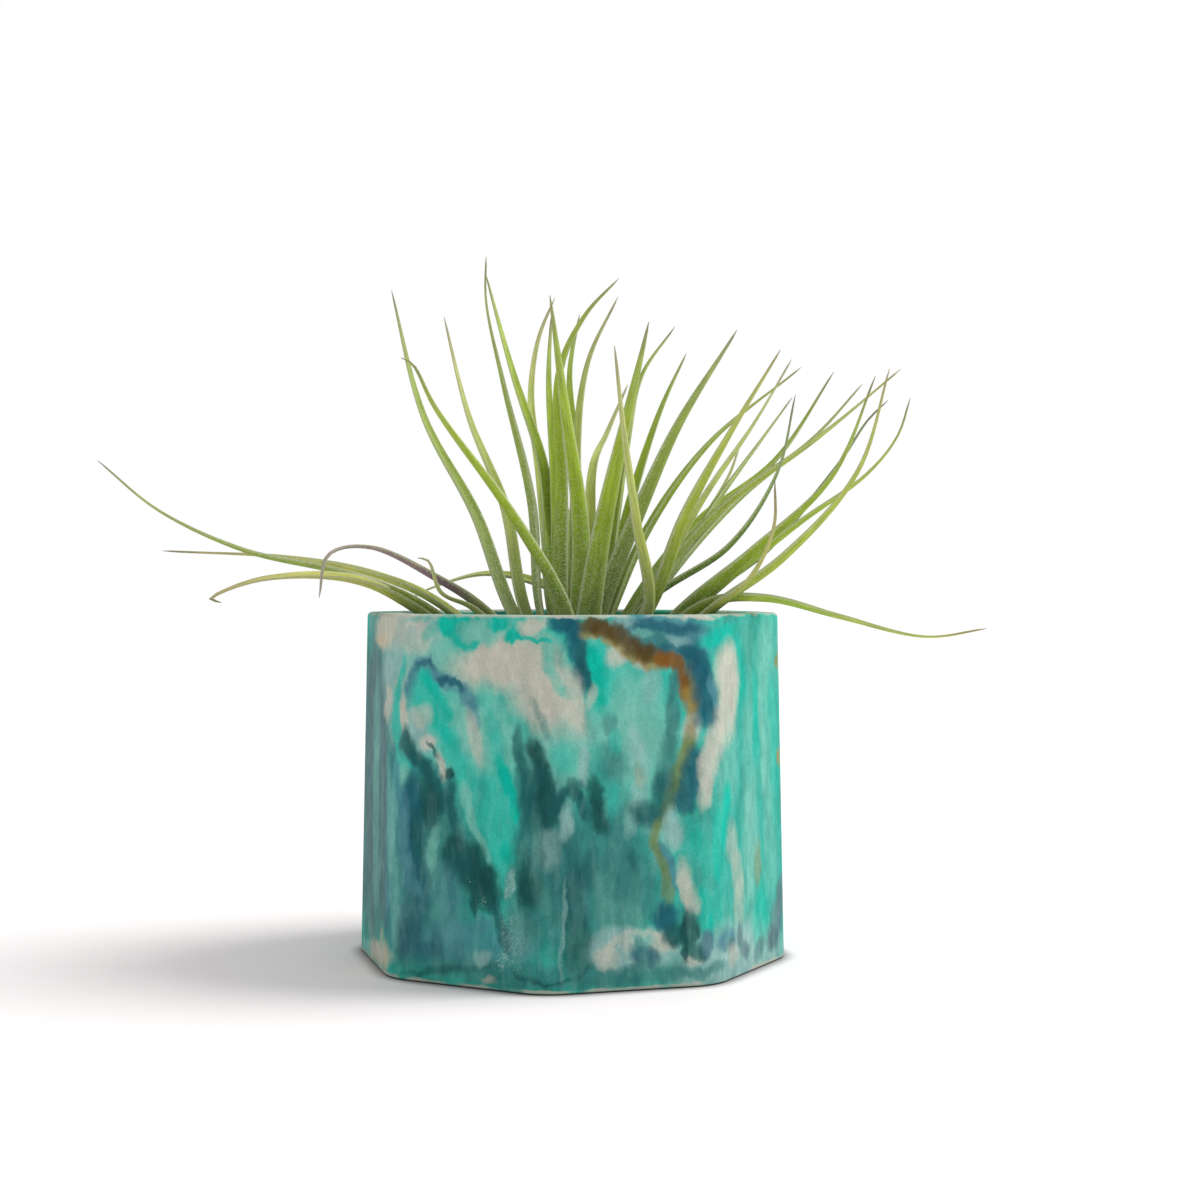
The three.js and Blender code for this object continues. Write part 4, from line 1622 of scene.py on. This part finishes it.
class Spine:
    """A leaf's middle line: a centripetal Catmull-Rom curve through points, walked by its length."""

    samples = 40

    def __init__(self, points: Sequence[Sequence[float]]) -> None:
        """Draws the curve.

        Args:
            points: The points that it passes through, in millimetres.
        """
        places = np.array(points, float)
        before = 2 * places[0] - places[1]
        after = 2 * places[-1] - places[-2]
        padded = np.vstack([before, places, after])
        stretches = [self.stretch(*padded[i : i + 4]) for i in range(len(places) - 1)]
        self.line = np.vstack([*stretches, places[-1:]])
        steps = np.linalg.norm(np.diff(self.line, axis=0), axis=1)
        self.reached = np.concatenate([[0.0], np.cumsum(steps)])

    def stretch(self, p0: np.ndarray, p1: np.ndarray, p2: np.ndarray, p3: np.ndarray) -> np.ndarray:
        """Draws the stretch from the second of four points to the third, without its end.

        Args:
            p0: The point before the stretch.
            p1: Its start.
            p2: Its end.
            p3: The point after it.

        Returns:
            The sampled places.
        """
        d0, d1, d2 = (math.sqrt(np.linalg.norm(b - a)) for a, b in ((p0, p1), (p1, p2), (p2, p3)))
        start = ((p1 - p0) / d0 - (p2 - p0) / (d0 + d1) + (p2 - p1) / d1) * d1
        end = ((p2 - p1) / d1 - (p3 - p1) / (d1 + d2) + (p3 - p2) / d2) * d1
        t = np.linspace(0, 1, self.samples, endpoint=False)[:, None]
        cubic = (2 * p1 - 2 * p2 + start + end) * t**3 + (3 * p2 - 3 * p1 - 2 * start - end) * t**2
        return cubic + start * t + p1

    @property
    def length(self) -> float:
        """The curve's length."""
        return float(self.reached[-1])

    def at(self, share: float) -> np.ndarray:
        """Gives the place a share of the way along."""
        reached = share * self.length
        return np.array([np.interp(reached, self.reached, self.line[:, axis]) for axis in range(3)])

    def forward(self, share: float) -> np.ndarray:
        """Gives the direction of growth a share of the way along."""
        step = 0.004
        run = self.at(min(1.0, share + step)) - self.at(max(0.0, share - step))
        return run / np.linalg.norm(run)


@dataclass(frozen=True)
class Leaf:
    """One leaf.

    Attributes:
        width: Its width near the pot's rim.
        through: The points that its middle line passes through from the rim to its tip.
        tone: How it has aged.
    """

    width: float
    through: Sequence[Point]
    tone: LeafTone = LeafTone.FRESH


# Short for the tables of leaves.
T = LeafTone

# The leaves that show, each placed one by one, with the widths and points of the frame's own leaves.
SHOWING_LEAVES = (
    # Sweeping low to the left.
    Leaf(3.0, ((-29, -2, 69), (-45, -4, 75.5), (-64, -6, 80), (-81, -6, 88), (-93.5, -4, 98)), T.DUSTY),
    Leaf(3.6, ((-27, 9, 69), (-42, 13, 75.5), (-60, 17, 79), (-86, 20, 80.5)), T.YELLOW),
    Leaf(4.8, ((-31.5, -3, 68.5), (-42, -12, 74), (-58, -25, 74.3),
               (-66, -30, 71), (-63.5, -33, 70.2)), T.YELLOW),
    Leaf(3.4, ((-17, -8, 68), (-26, -14, 74.5), (-38, -20, 80.5), (-45, -25, 79), (-46.5, -27, 71)), T.PLUM),
    Leaf(2.4, ((-18.5, -14, 68.5), (-24.5, -20, 72), (-26.5, -24, 78), (-28.5, -24, 78.5)), T.PALE),
    Leaf(2.8, ((-2.5, 12, 70.5), (-9, 18, 74), (-19.5, 26, 75.5), (-31, 32, 72.5), (-35, 33, 70.5)), T.PALE),
    # Rising to the left.
    Leaf(3.6, ((-13, 12, 68), (-21, 22, 88), (-32.5, 32, 109.5), (-40, 40, 138)), T.DUSTY),
    Leaf(2.6, ((-1, -9, 68), (-11.5, -14, 87), (-25.5, -20, 107),
               (-29.5, -23, 115), (-31.5, -24, 116)), T.FRESH),
    Leaf(3.4, ((-10, 8, 68), (-14.5, 15, 89.5), (-22, 22, 108.5), (-27.5, 28, 130.5)), T.PALE),
    Leaf(4.2, ((-6.5, 1, 68), (-8.5, 4, 90), (-14, 8, 114),
               (-17.5, 9.5, 131.5), (-17.5, 10, 140.5)), T.DUSTY),
    Leaf(3.8, ((-4.5, 6, 70.5), (-6.5, 14, 97), (-12.5, 20, 117), (-18.5, 26, 139.5)), T.FRESH),
    # Upright in the middle.
    Leaf(2.8, ((-4, 12, 70.5), (-7, 19, 96), (-9, 25, 113), (-7.5, 30, 126), (-4, 34, 135.5)), T.PALE),
    Leaf(3.0, ((-2.5, 8, 68), (-4, 14, 97.5), (-5, 18, 115.5), (-4.5, 24, 130.5)), T.FRESH),
    Leaf(3.8, ((2, -6, 68), (2, -8, 86), (-1, -9, 108), (-4, -8, 130)), T.FRESH),
    Leaf(3.8, ((-2.5, -3, 68), (-2.5, -4, 94), (-2.5, -4, 115.5),
               (2.5, -3, 126.5), (9.5, 0, 134.5)), T.FRESH),
    Leaf(2.8, ((1, 6, 70.5), (0.5, 12, 101.5), (-0.5, 16, 117.5), (1.5, 20, 130)), T.FRESH),
    Leaf(3.0, ((3, 3, 70.5), (1.5, 6, 101), (3.5, 10, 119), (9.5, 15, 133)), T.PALE),
    Leaf(4.6, ((4, -10, 68), (7, -16, 86), (11, -20, 105), (15, -22, 123)), T.FRESH),
    Leaf(3.0, ((4, 8, 70.5), (4.5, 26, 98), (7.5, 36, 106.5), (12, 46, 118)), T.PALE),
    Leaf(3.2, ((7, 5, 70.5), (11.5, 10, 101.5), (14.5, 14, 116.5), (21.5, 20, 127.5)), T.FRESH),
    Leaf(2.8, ((15.5, -14, 68), (13, -20, 86), (10.5, -24, 101.5), (8.5, -26, 118)), T.PALE),
    Leaf(3.2, ((8, 9, 70.5), (13.5, 18, 93.5), (19, 26, 111), (24.5, 34, 123.5)), T.FRESH),
    # Rising to the right.
    Leaf(4.6, ((6.5, -4, 68), (14, -6, 87), (22, -5, 105.5), (33, -2, 124)), T.DUSTY),
    Leaf(3.4, ((9, 3, 69), (16.5, 8, 85.5), (29, 13, 103), (48, 20, 119)), T.FRESH),
    Leaf(4.2, ((16.5, -8, 69.5), (23, -14, 87), (31.5, -18, 103.5), (40, -20, 118)), T.BRIGHT),
    Leaf(3.2, ((16.5, 0, 71.5), (26, -1, 89.5), (37, 5, 106), (45, 10, 119.5)), T.PALE),
    Leaf(2.2, ((16, 13.5, 72.5), (27.5, 28, 86.5), (34, 38, 97), (37, 46, 104.5)), T.PALE),
    Leaf(2.6, ((17, 4, 70.5), (30.5, 14, 91), (40, 24, 104), (47.5, 34, 114)), T.DUSTY),
    Leaf(2.0, ((15, -4.5, 69.5), (31.5, -5, 81), (41, -2, 95.5), (45, 2, 111.5)), T.SHADED),
    Leaf(3.2, ((14, 10, 70.5), (27, 20, 86.5), (43.5, 28, 100), (56.5, 34, 119.5)), T.FRESH),
    Leaf(3.2, ((18.5, 9.5, 72.5), (35.5, 23, 91.5), (52, 32, 105), (63.5, 40, 117.5)), T.DUSTY),
    Leaf(3.8, ((13, 3, 68), (30, 7, 88), (50, 10, 103), (68, 14, 118)), T.BRIGHT),
    Leaf(3.8, ((22, -10, 68), (35.5, -16, 79.5), (50, -20, 94), (58, -20, 113)), T.FRESH),
    Leaf(3.4, ((28, -13, 68.5), (41, -20, 78.5), (54, -26, 94.5), (59.5, -28, 113.5)), T.BRIGHT),
    Leaf(3.2, ((25.5, -3, 69), (44.5, -7, 85), (58, -8, 95), (64, -8, 102.5), (66.5, -8, 110)), T.FRESH),
    Leaf(2.8, ((23.5, 4, 68.5), (39.5, 6, 80), (54.5, 8, 98), (60.5, 9, 107), (64.5, 8, 111)), T.SHADED),
    Leaf(2.0, ((27, -17, 68.5), (34, -24, 74.5), (38, -29, 84), (38, -31, 92.5)), T.YELLOW),
    Leaf(3.8, ((26, -11, 69), (37.5, -15, 70.5), (51, -20, 67.3),
               (67, -24, 63.7), (78, -26, 65.3)), T.BRIGHT),
)


class Mulberry:
    """The small seeded draw that the frame's own groups of leaves were placed with."""

    mask = 0xFFFFFFFF
    stride = 0x6D2B79F5

    def __init__(self, seed: int) -> None:
        """Starts the draw from a seed."""
        self.state = seed

    def between(self, low: float, high: float) -> float:
        """Draws a number.

        Args:
            low: The lowest that it may be.
            high: The highest that it may be.

        Returns:
            The number.
        """
        self.state = (self.state + self.stride) & self.mask
        mixed = self.state
        mixed = (mixed ^ (mixed >> 15)) * (mixed | 1) & self.mask
        mixed ^= (mixed + ((mixed ^ (mixed >> 7)) * (mixed | 61) & self.mask)) & self.mask
        return lerp(low, high, ((mixed ^ (mixed >> 14)) & self.mask) / 2**32)


@dataclass(frozen=True)
class LeafGroup:
    """Leaves placed by the golden angle, folded into the sector that the group fills.

    Attributes:
        count: How many leaves there are.
        turns: The sector, in degrees, counterclockwise from +X seen from above.
        reach: How far from the stem the first leaf's tip lies, and the last one's.
        tip_z: The height of the first leaf's tip, and of the last one's.
        width: The leaves' middling width.
        seed: Seeds the draw.
        tones: The tones that its leaves take in turn.
        path: How far out and how far up the points of each leaf lie, as shares.
        tip_spread: Over how many millimetres the tips' heights are shaken.
        widths: The least and the most of the middling width that a leaf has.
    """

    count: int
    turns: Pair
    reach: Pair
    tip_z: Pair
    width: float
    seed: int
    tones: tuple[LeafTone, ...]
    path: tuple[Pair, ...] = ((0.4, 0.67), (0.72, 0.89), (1.0, 1.0))
    tip_spread: float = 4.0
    widths: Pair = (0.9, 1.2)

    def leaves(self) -> list[Leaf]:
        """Places the group's leaves.

        Returns:
            The leaves.
        """
        draw = Mulberry(self.seed)
        made = []
        for i in range(self.count):
            turn = math.radians(lerp(*self.turns, (i * GOLDEN_SHARE) % 1))
            order = i / (self.count - 1)
            reached = lerp(*self.reach, order)
            tip = lerp(*self.tip_z, order) + draw.between(-self.tip_spread, self.tip_spread) / 2
            root_low, root_high = Rosette.root_height
            root = lerp(root_high, root_low, min(1.0, reached / Rosette.rim_reach))
            through = [
                (
                    STEM_X + out * reached * math.cos(turn),
                    STEM_Y + out * reached * math.sin(turn),
                    lerp(root, tip, up),
                )
                for out, up in self.path
            ]
            width = self.width * draw.between(*self.widths)
            made.append(Leaf(width, through, self.tones[i % len(self.tones)]))
        return made


LEAF_GROUPS = (
    LeafGroup(12, (72, 98), (26, 66), (93, 80), 3.0, 21, (T.FRESH, T.PALE, T.BRIGHT, T.DUSTY)),
    LeafGroup(5, (0, 360), (2, 5), (76, 70), 2.6, 4, (T.PALE, T.FRESH)),
    LeafGroup(13, (0, 360), (15, 24), (60, 56), 4.2, 9, (T.DUSTY, T.DRIED, T.SHADED)),
)


@dataclass(frozen=True)
class LeafSkin:
    """A leaf's skin: soft green under a dust of fine silvery scales, with pale margins.

    Attributes:
        scale: The colour of the scales and margins.
        scale_size: How far the scales lie apart.
        streak_shades: The factors of the leaf's own colour in its dark and pale streaks.
        cloud_shade: The same in its dark clouds.
        dust_at_tip: How much of the scales shows near the tip.
        dust_at_root: How much more of them shows near the root.
        margin_strength: How much of the pale margins shows.
        roughness: The roughness.
        velvet: The strength and the roughness of the skin's sheen.
        reflection: The strength of its reflections.
    """

    scale: str = "c8cfa4"
    scale_size: float = 0.36
    streak_shades: Pair = (0.93, 1.25)
    cloud_shade: float = 0.9
    dust_at_tip: float = 0.16
    dust_at_root: float = 0.42
    margin_strength: float = 0.72
    roughness: float = 0.66
    velvet: Pair = (0.12, 0.5)
    reflection: float = 0.2

    def material(self) -> Material:
        """Lays out the material. It reads the attributes that Rosette writes.

        Returns:
            The material.
        """
        bench = Bench.for_material("leaf_skin")
        tint = bench.attribute("tint", "Color")
        lie = bench.attribute("lie", "Vector")
        along = bench.attribute("along", "Fac")
        margin = bench.attribute("margin", "Fac")
        streaks = bench.noise(bench.vector("MULTIPLY", lie, (1.0, 0.07, 1.0)), size=0.35)
        dark, pale = (bench.scaled(tint, factor) for factor in self.streak_shades)
        colour = bench.mix(bench.ramp(streaks, 0.3, 0.7), dark, pale)
        clouds = bench.ramp(bench.noise(lie, size=5.0), 0.35, 0.65)
        colour = bench.mix(clouds, bench.scaled(colour, self.cloud_shade), colour)
        dust = bench.ramp(bench.noise(lie, self.scale_size), 0.47, 0.6)
        near_root = bench.ramp(along, 0.62, 0.2)
        dusting = bench.math("MULTIPLY_ADD", near_root, self.dust_at_root, self.dust_at_tip)
        colour = bench.mix(bench.math("MULTIPLY", dust, dusting), colour, linear(self.scale))
        edge = bench.ramp(bench.math("MULTIPLY_ADD", dust, 0.1, margin), 0.8, 0.98)
        edge = bench.math("MULTIPLY", edge, bench.ramp(along, 1.0, 0.6))
        colour = bench.mix(bench.math("MULTIPLY", edge, self.margin_strength), colour, linear(self.scale))
        normal = bench.bump(streaks, depth=0.06, strength=0.6)
        normal = bench.bump(dust, depth=0.04, strength=0.5, under=normal)
        sheen, sheen_roughness = self.velvet
        return bench.surface(
            colour,
            self.roughness,
            normal,
            Sheen_Weight=sheen,
            Sheen_Roughness=sheen_roughness,
            Specular_IOR_Level=self.reflection,
        )


@dataclass
class Rosette:
    """The plant: a short stem, and leaves that clasp it, grown as one piece.

    Attributes:
        sides: The sides of a leaf's section.
        steps: The steps along a leaf.
        root_reach: How far from the stem's axis a flat leaf roots, and an upright one.
        root_height: The height at which they root.
        rim_reach: How far from the stem a flat leaf crosses the rim.
        width_at_root: A leaf's width at its root, over its width near the rim.
        taper: How late a leaf narrows: one is evenly along it, more is nearer its tip.
        flare: How much wider its very root is, and the share of its length over which that ends.
        tip_width: Its width where its point starts.
        point: The point's share of its length, and its width at the very tip.
        thickness: Its thickness at the root and at the tip.
        thickest: The most that its thickness is of its width.
        channel: How high its margins rise in the middle, over its width.
        stem_sides: The sides of the stem.
        stem_levels: The stem's radius and height at its foot's top, its waist, above it and at its top.
    """

    sides: int = 16
    steps: int = 46
    root_reach: Pair = (4.2, 0.8)
    root_height: Pair = (46.0, 55.0)
    rim_reach: float = 32.0
    width_at_root: float = 1.25
    taper: float = 1.4
    flare: Pair = (1.2, 0.2)
    tip_width: float = 0.42
    point: Pair = (0.035, 0.14)
    thickness: Pair = (1.15, 0.4)
    thickest: float = 0.8
    channel: float = 0.38
    stem_sides: int = 20
    stem_levels: tuple[Pair, ...] = ((5.2, 42.0), (7.2, 47.5), (5.4, 53.0), (2.4, 60.0))

    def build(self) -> Piece:
        """Models one straight blade and the stem, lays a copy of the blade along each leaf, and joins them.

        Returns:
            The plant.
        """
        blade = self.blade()
        grown = [self.stem()]
        leaves = [*SHOWING_LEAVES]
        for group in LEAF_GROUPS:
            leaves.extend(group.leaves())
        for number, leaf in enumerate(leaves):
            grown.append(self.laid(blade, leaf, number))
        bpy.data.objects.remove(blade)
        plant = join(grown, "air_plant")
        bpy.ops.object.shade_smooth()
        return plant

    def blade(self) -> Piece:
        """Models the straight blade that every leaf is a copy of: a closed tube of unit radius and length.

        Returns:
            The blade.
        """
        start_alone()
        bpy.ops.mesh.primitive_circle_add(vertices=self.sides, radius=1.0, fill_type="NGON")
        blade = bpy.context.object
        bpy.ops.object.mode_set(mode="EDIT")
        bpy.ops.mesh.select_all(action="SELECT")
        for _ in range(self.steps):
            bpy.ops.mesh.extrude_region_move(TRANSFORM_OT_translate={"value": (0, 0, 1 / self.steps)})
        close_outwards()
        return blade

    def root(self, first: Point) -> Point:
        """Finds where a leaf roots: inside the stem, on the side that it grows to.

        Args:
            first: The first point of its middle line.

        Returns:
            The root.
        """
        x, y = first[0] - STEM_X, first[1] - STEM_Y
        outward = math.hypot(x, y)
        upright = 1 - min(1.0, outward / self.rim_reach)
        reach = lerp(*self.root_reach, upright) / outward
        return STEM_X + x * reach, STEM_Y + y * reach, lerp(*self.root_height, upright)

    def width(self, leaf: Leaf, along: float) -> float:
        """Gives a leaf's width a share of the way along. It widens at the root and ends in a fine point."""
        widening, widening_length = self.flare
        point_length, point_width = self.point
        flare = widening * max(0.0, 1 - along / widening_length) ** 2
        even = lerp(leaf.width * self.width_at_root, self.tip_width, along**self.taper) + flare
        pointed = min(1.0, (1 - along) / point_length)
        return lerp(point_width, even, math.sqrt(pointed))

    def laid(self, blade: Piece, leaf: Leaf, number: int) -> Piece:
        """Lays a copy of the blade along a leaf's middle line, and writes what its skin reads.

        Args:
            blade: The straight blade.
            leaf: The leaf.
            number: The leaf's number, which sets its skin's pattern apart.

        Returns:
            The laid leaf.
        """
        # How far apart the leaves' skins are read from one pattern.
        pattern_step = 17.0
        made = copy_of(blade)
        count = len(made.data.vertices)
        straight = np.zeros(count * 3, np.float32)
        made.data.vertices.foreach_get("co", straight)
        straight = straight.reshape(-1, 3)
        ring_of = np.rint(straight[:, 2] * self.steps).astype(int)
        theta = np.arctan2(straight[:, 1], straight[:, 0])
        spine = Spine([self.root(leaf.through[0]), *leaf.through])
        rings = self.rings(leaf, spine)
        middle, across, inner, size = (rings[name][ring_of] for name in ("middle", "across", "inner", "size"))
        edge, rise, half = size[:, 0], size[:, 1], size[:, 2]
        side = (edge * np.cos(theta))[:, None]
        up = (rise * np.cos(theta) ** 2 + half * np.sin(theta))[:, None]
        laid = (middle + across * side + inner * up) * MM
        made.data.vertices.foreach_set("co", laid.astype(np.float32).ravel())
        along = ring_of / self.steps
        lie_side = side[:, 0] + number * pattern_step
        lie = np.column_stack([lie_side, along * spine.length, up[:, 0] + (theta > 0)])
        self.write_skin(made, leaf.tone, along, np.abs(np.cos(theta)), lie)
        return made

    def rings(self, leaf: Leaf, spine: Spine) -> dict[str, np.ndarray]:
        """Finds each ring's middle, its two directions, and its sizes.

        Args:
            leaf: The leaf.
            spine: Its middle line.

        Returns:
            Under "middle", "across" and "inner" a vector for each ring, and under "size" its half-width, the
            rise of its margins and its half-thickness.
        """
        inner = np.array([STEM_X - leaf.through[0][0], STEM_Y - leaf.through[0][1], 0.0])
        found: dict[str, list[object]] = {"middle": [], "across": [], "inner": [], "size": []}
        for step in range(self.steps + 1):
            along = step / self.steps
            forward = spine.forward(along)
            inner = inner - forward * np.dot(inner, forward)
            inner = inner / np.linalg.norm(inner)
            width = self.width(leaf, along)
            rise = self.channel * width * math.sin(math.pi * along)
            half = min(lerp(*self.thickness, along), width * self.thickest) / 2
            found["middle"].append(spine.at(along))
            found["across"].append(np.cross(inner, forward))
            found["inner"].append(inner)
            found["size"].append((width / 2, rise, half))
        return {name: np.array(rows) for name, rows in found.items()}

    def tints(self, tone: LeafTone, along: np.ndarray) -> np.ndarray:
        """Gives the colour that a tone has at each of these shares of the way along a leaf."""
        colours = np.array([linear(hex_code) for hex_code in tone.value])
        return np.column_stack([np.interp(along, TONE_STOPS, colours[:, channel]) for channel in range(4)])

    def write_skin(
        self, piece: Piece, tone: LeafTone, along: np.ndarray, margin: np.ndarray, lie: np.ndarray
    ) -> None:
        """Writes what the leaves' skin reads at a piece's points.

        Args:
            piece: The piece.
            tone: Its tone.
            along: Each point's share of the way along it.
            margin: How near each point is to a margin, from zero to one.
            lie: Each point's place on the flat leaf.
        """
        write_attribute(piece, "along", "FLOAT", along)
        write_attribute(piece, "margin", "FLOAT", margin)
        write_attribute(piece, "lie", "FLOAT_VECTOR", lie)
        write_attribute(piece, "tint", "FLOAT_COLOR", self.tints(tone, along))

    def stem(self) -> Piece:
        """Models the short stem: a foot in the pebbles, a waist where the leaves clasp it, and a slim top.

        Returns:
            The stem, with the attributes that the leaves' skin reads.
        """
        radius, height = self.stem_levels[0][0], node_box("rosette")[0].z
        start_alone()
        bpy.ops.mesh.primitive_circle_add(
            vertices=self.stem_sides,
            radius=radius * MM,
            fill_type="NGON",
            location=(STEM_X * MM, STEM_Y * MM, height * MM),
        )
        stem = bpy.context.object
        settle(stem)
        begin_edit(stem)
        bpy.ops.mesh.select_all(action="SELECT")
        for next_radius, next_height in self.stem_levels:
            up = (next_height - height) * MM
            bpy.ops.mesh.extrude_region_move(TRANSFORM_OT_translate={"value": (0, 0, up)})
            factor = next_radius / radius
            axis = (STEM_X * MM, STEM_Y * MM, 0)
            bpy.ops.transform.resize(value=(factor, factor, 1.0), center_override=axis)
            radius, height = next_radius, next_height
        close_outwards()
        count = len(stem.data.vertices)
        places = np.zeros(count * 3, np.float32)
        stem.data.vertices.foreach_get("co", places)
        self.write_skin(stem, LeafTone.DRIED, np.zeros(count), np.zeros(count), places / MM)
        return stem

    def dress(self, plant: Piece) -> None:
        """Gives the plant its skin and hands it in."""
        hand_in(plant, "rosette", "leaf", LeafSkin().material())


@dataclass
class Studio:
    """A white floor under soft light from the right, and the photograph's camera.

    Attributes:
        floor_reach: Half the floor's side.
        floor_far: The floor's colour, tinted a little rosy against the turquoise light that the pot throws
            onto it.
        floor_near: Its colour close to the pot, rosier still, painted against the turquoise light that the
            pot throws onto it.
        near_starts: How far from the pot's axis the near colour starts.
        near_whole: How far from it the near colour is in full.
        contact: How far from the pot the painted shadow under it reaches.
        contact_open: How open to the sky the floor is where the painted shadow starts and where it is in
            full.
        contact_shade: The factor of the floor's colour in that painted shadow.
        key_from: Where the key light stands.
        key_at: Where it points.
        key_spread: How wide the key light looks, in degrees.
        key_power: Its strength.
        sky: The light of the white surroundings, which look brighter than they shine.
    """

    floor_reach: float = 9000.0
    floor_far: Rgba = (0.94, 0.915, 0.915, 1.0)
    floor_near: Rgba = (1.0, 0.94, 0.945, 1.0)
    near_starts: float = 140.0
    near_whole: float = 45.0
    contact: float = 5.0
    contact_open: Pair = (0.9, 0.45)
    contact_shade: float = 0.3
    key_from: Point = (520.0, 110.0, 640.0)
    key_at: Point = (0.0, 0.0, 40.0)
    key_spread: float = 32.0
    key_power: float = 2.2
    sky: float = 0.65

    def build(self) -> None:
        """Sets up camera, floor, light and sky."""
        self.camera()
        self.floor()
        self.key()
        self.surroundings()
        settings = bpy.context.scene.view_settings
        settings.view_transform = "Standard"
        settings.look = "None"

    def camera(self) -> None:
        """Puts the camera where the photograph was taken from."""
        data = bpy.data.cameras.new("camera")
        data.lens = LENS
        data.sensor_width = SENSOR
        data.clip_start = 10 * MM
        camera = bpy.data.objects.new("camera", data)
        camera.location = EYE * MM
        camera.rotation_euler = (math.pi / 2 - EYE_DROP, 0.0, 0.0)
        bpy.context.collection.objects.link(camera)
        bpy.context.scene.camera = camera

    def floor(self) -> None:
        """Lays the white floor, with a shadow painted into its colour close under the pot, where the pot
        hides the sky from it.
        """
        start_alone()
        bpy.ops.mesh.primitive_plane_add(size=2 * self.floor_reach * MM, location=(0, 0, 0))
        floor = bpy.context.object
        floor.name = "studio_floor"
        bench = Bench.for_material("white_floor")
        outward = bench.vector("LENGTH", bench.position())
        nearness = bench.ramp(outward, self.near_starts, self.near_whole)
        tint = bench.mix(nearness, self.floor_far, self.floor_near)
        # Painted shadow: the floor's colour darkens where the pot hides the sky from it.
        openness = bench.node("AmbientOcclusion", {"Distance": self.contact * MM}).outputs["AO"]
        starts, whole = self.contact_open
        tint = bench.mix(bench.ramp(openness, whole, starts), bench.scaled(tint, self.contact_shade), tint)
        shader = bench.node("BsdfPrincipled", {"Base Color": tint, "Roughness": 0.9})
        bench.node("OutputMaterial", {"Surface": shader.outputs[0]})
        floor.data.materials.append(bench.material)
        floor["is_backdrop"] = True

    def key(self) -> None:
        """Hangs the key light to the right, a little behind the plant."""
        data = bpy.data.lights.new("key", "SUN")
        data.energy = self.key_power
        data.angle = math.radians(self.key_spread)
        light = bpy.data.objects.new("key", data)
        light.location = Vector(self.key_from) * MM
        aim = Vector(self.key_at) - Vector(self.key_from)
        light.rotation_euler = aim.to_track_quat("-Z", "Y").to_euler()
        bpy.context.collection.objects.link(light)

    def surroundings(self) -> None:
        """Whitens the surroundings."""
        world = bpy.data.worlds.new("white")
        world.use_nodes = True
        bench = Bench(world.node_tree)
        background = world.node_tree.nodes["Background"]
        bench.feed(background.inputs["Color"], (1.0, 1.0, 1.0, 1.0))
        is_seen = bench.node("LightPath").outputs["Is Camera Ray"]
        bench.feed(background.inputs["Strength"], bench.math("MAXIMUM", is_seen, self.sky))
        bpy.context.scene.world = world


def write_sizes() -> None:
    """Gathers the frame's box and the dressed model's box as plain lists, and does nothing more with them."""
    boxes = {"cad": cad_box, "visual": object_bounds()}
    plain = {name: [list(corner) for corner in box] for name, box in boxes.items()}


def main() -> None:
    """Builds and dresses every piece in order."""
    logging.basicConfig(level=logging.INFO, format="%(message)s")
    Studio().build()
    for assembly in (Pot(), PebbleBed(), Rosette()):
        assembly.dress(assembly.build())
    write_sizes()


if __name__ == "__main__":
    main()
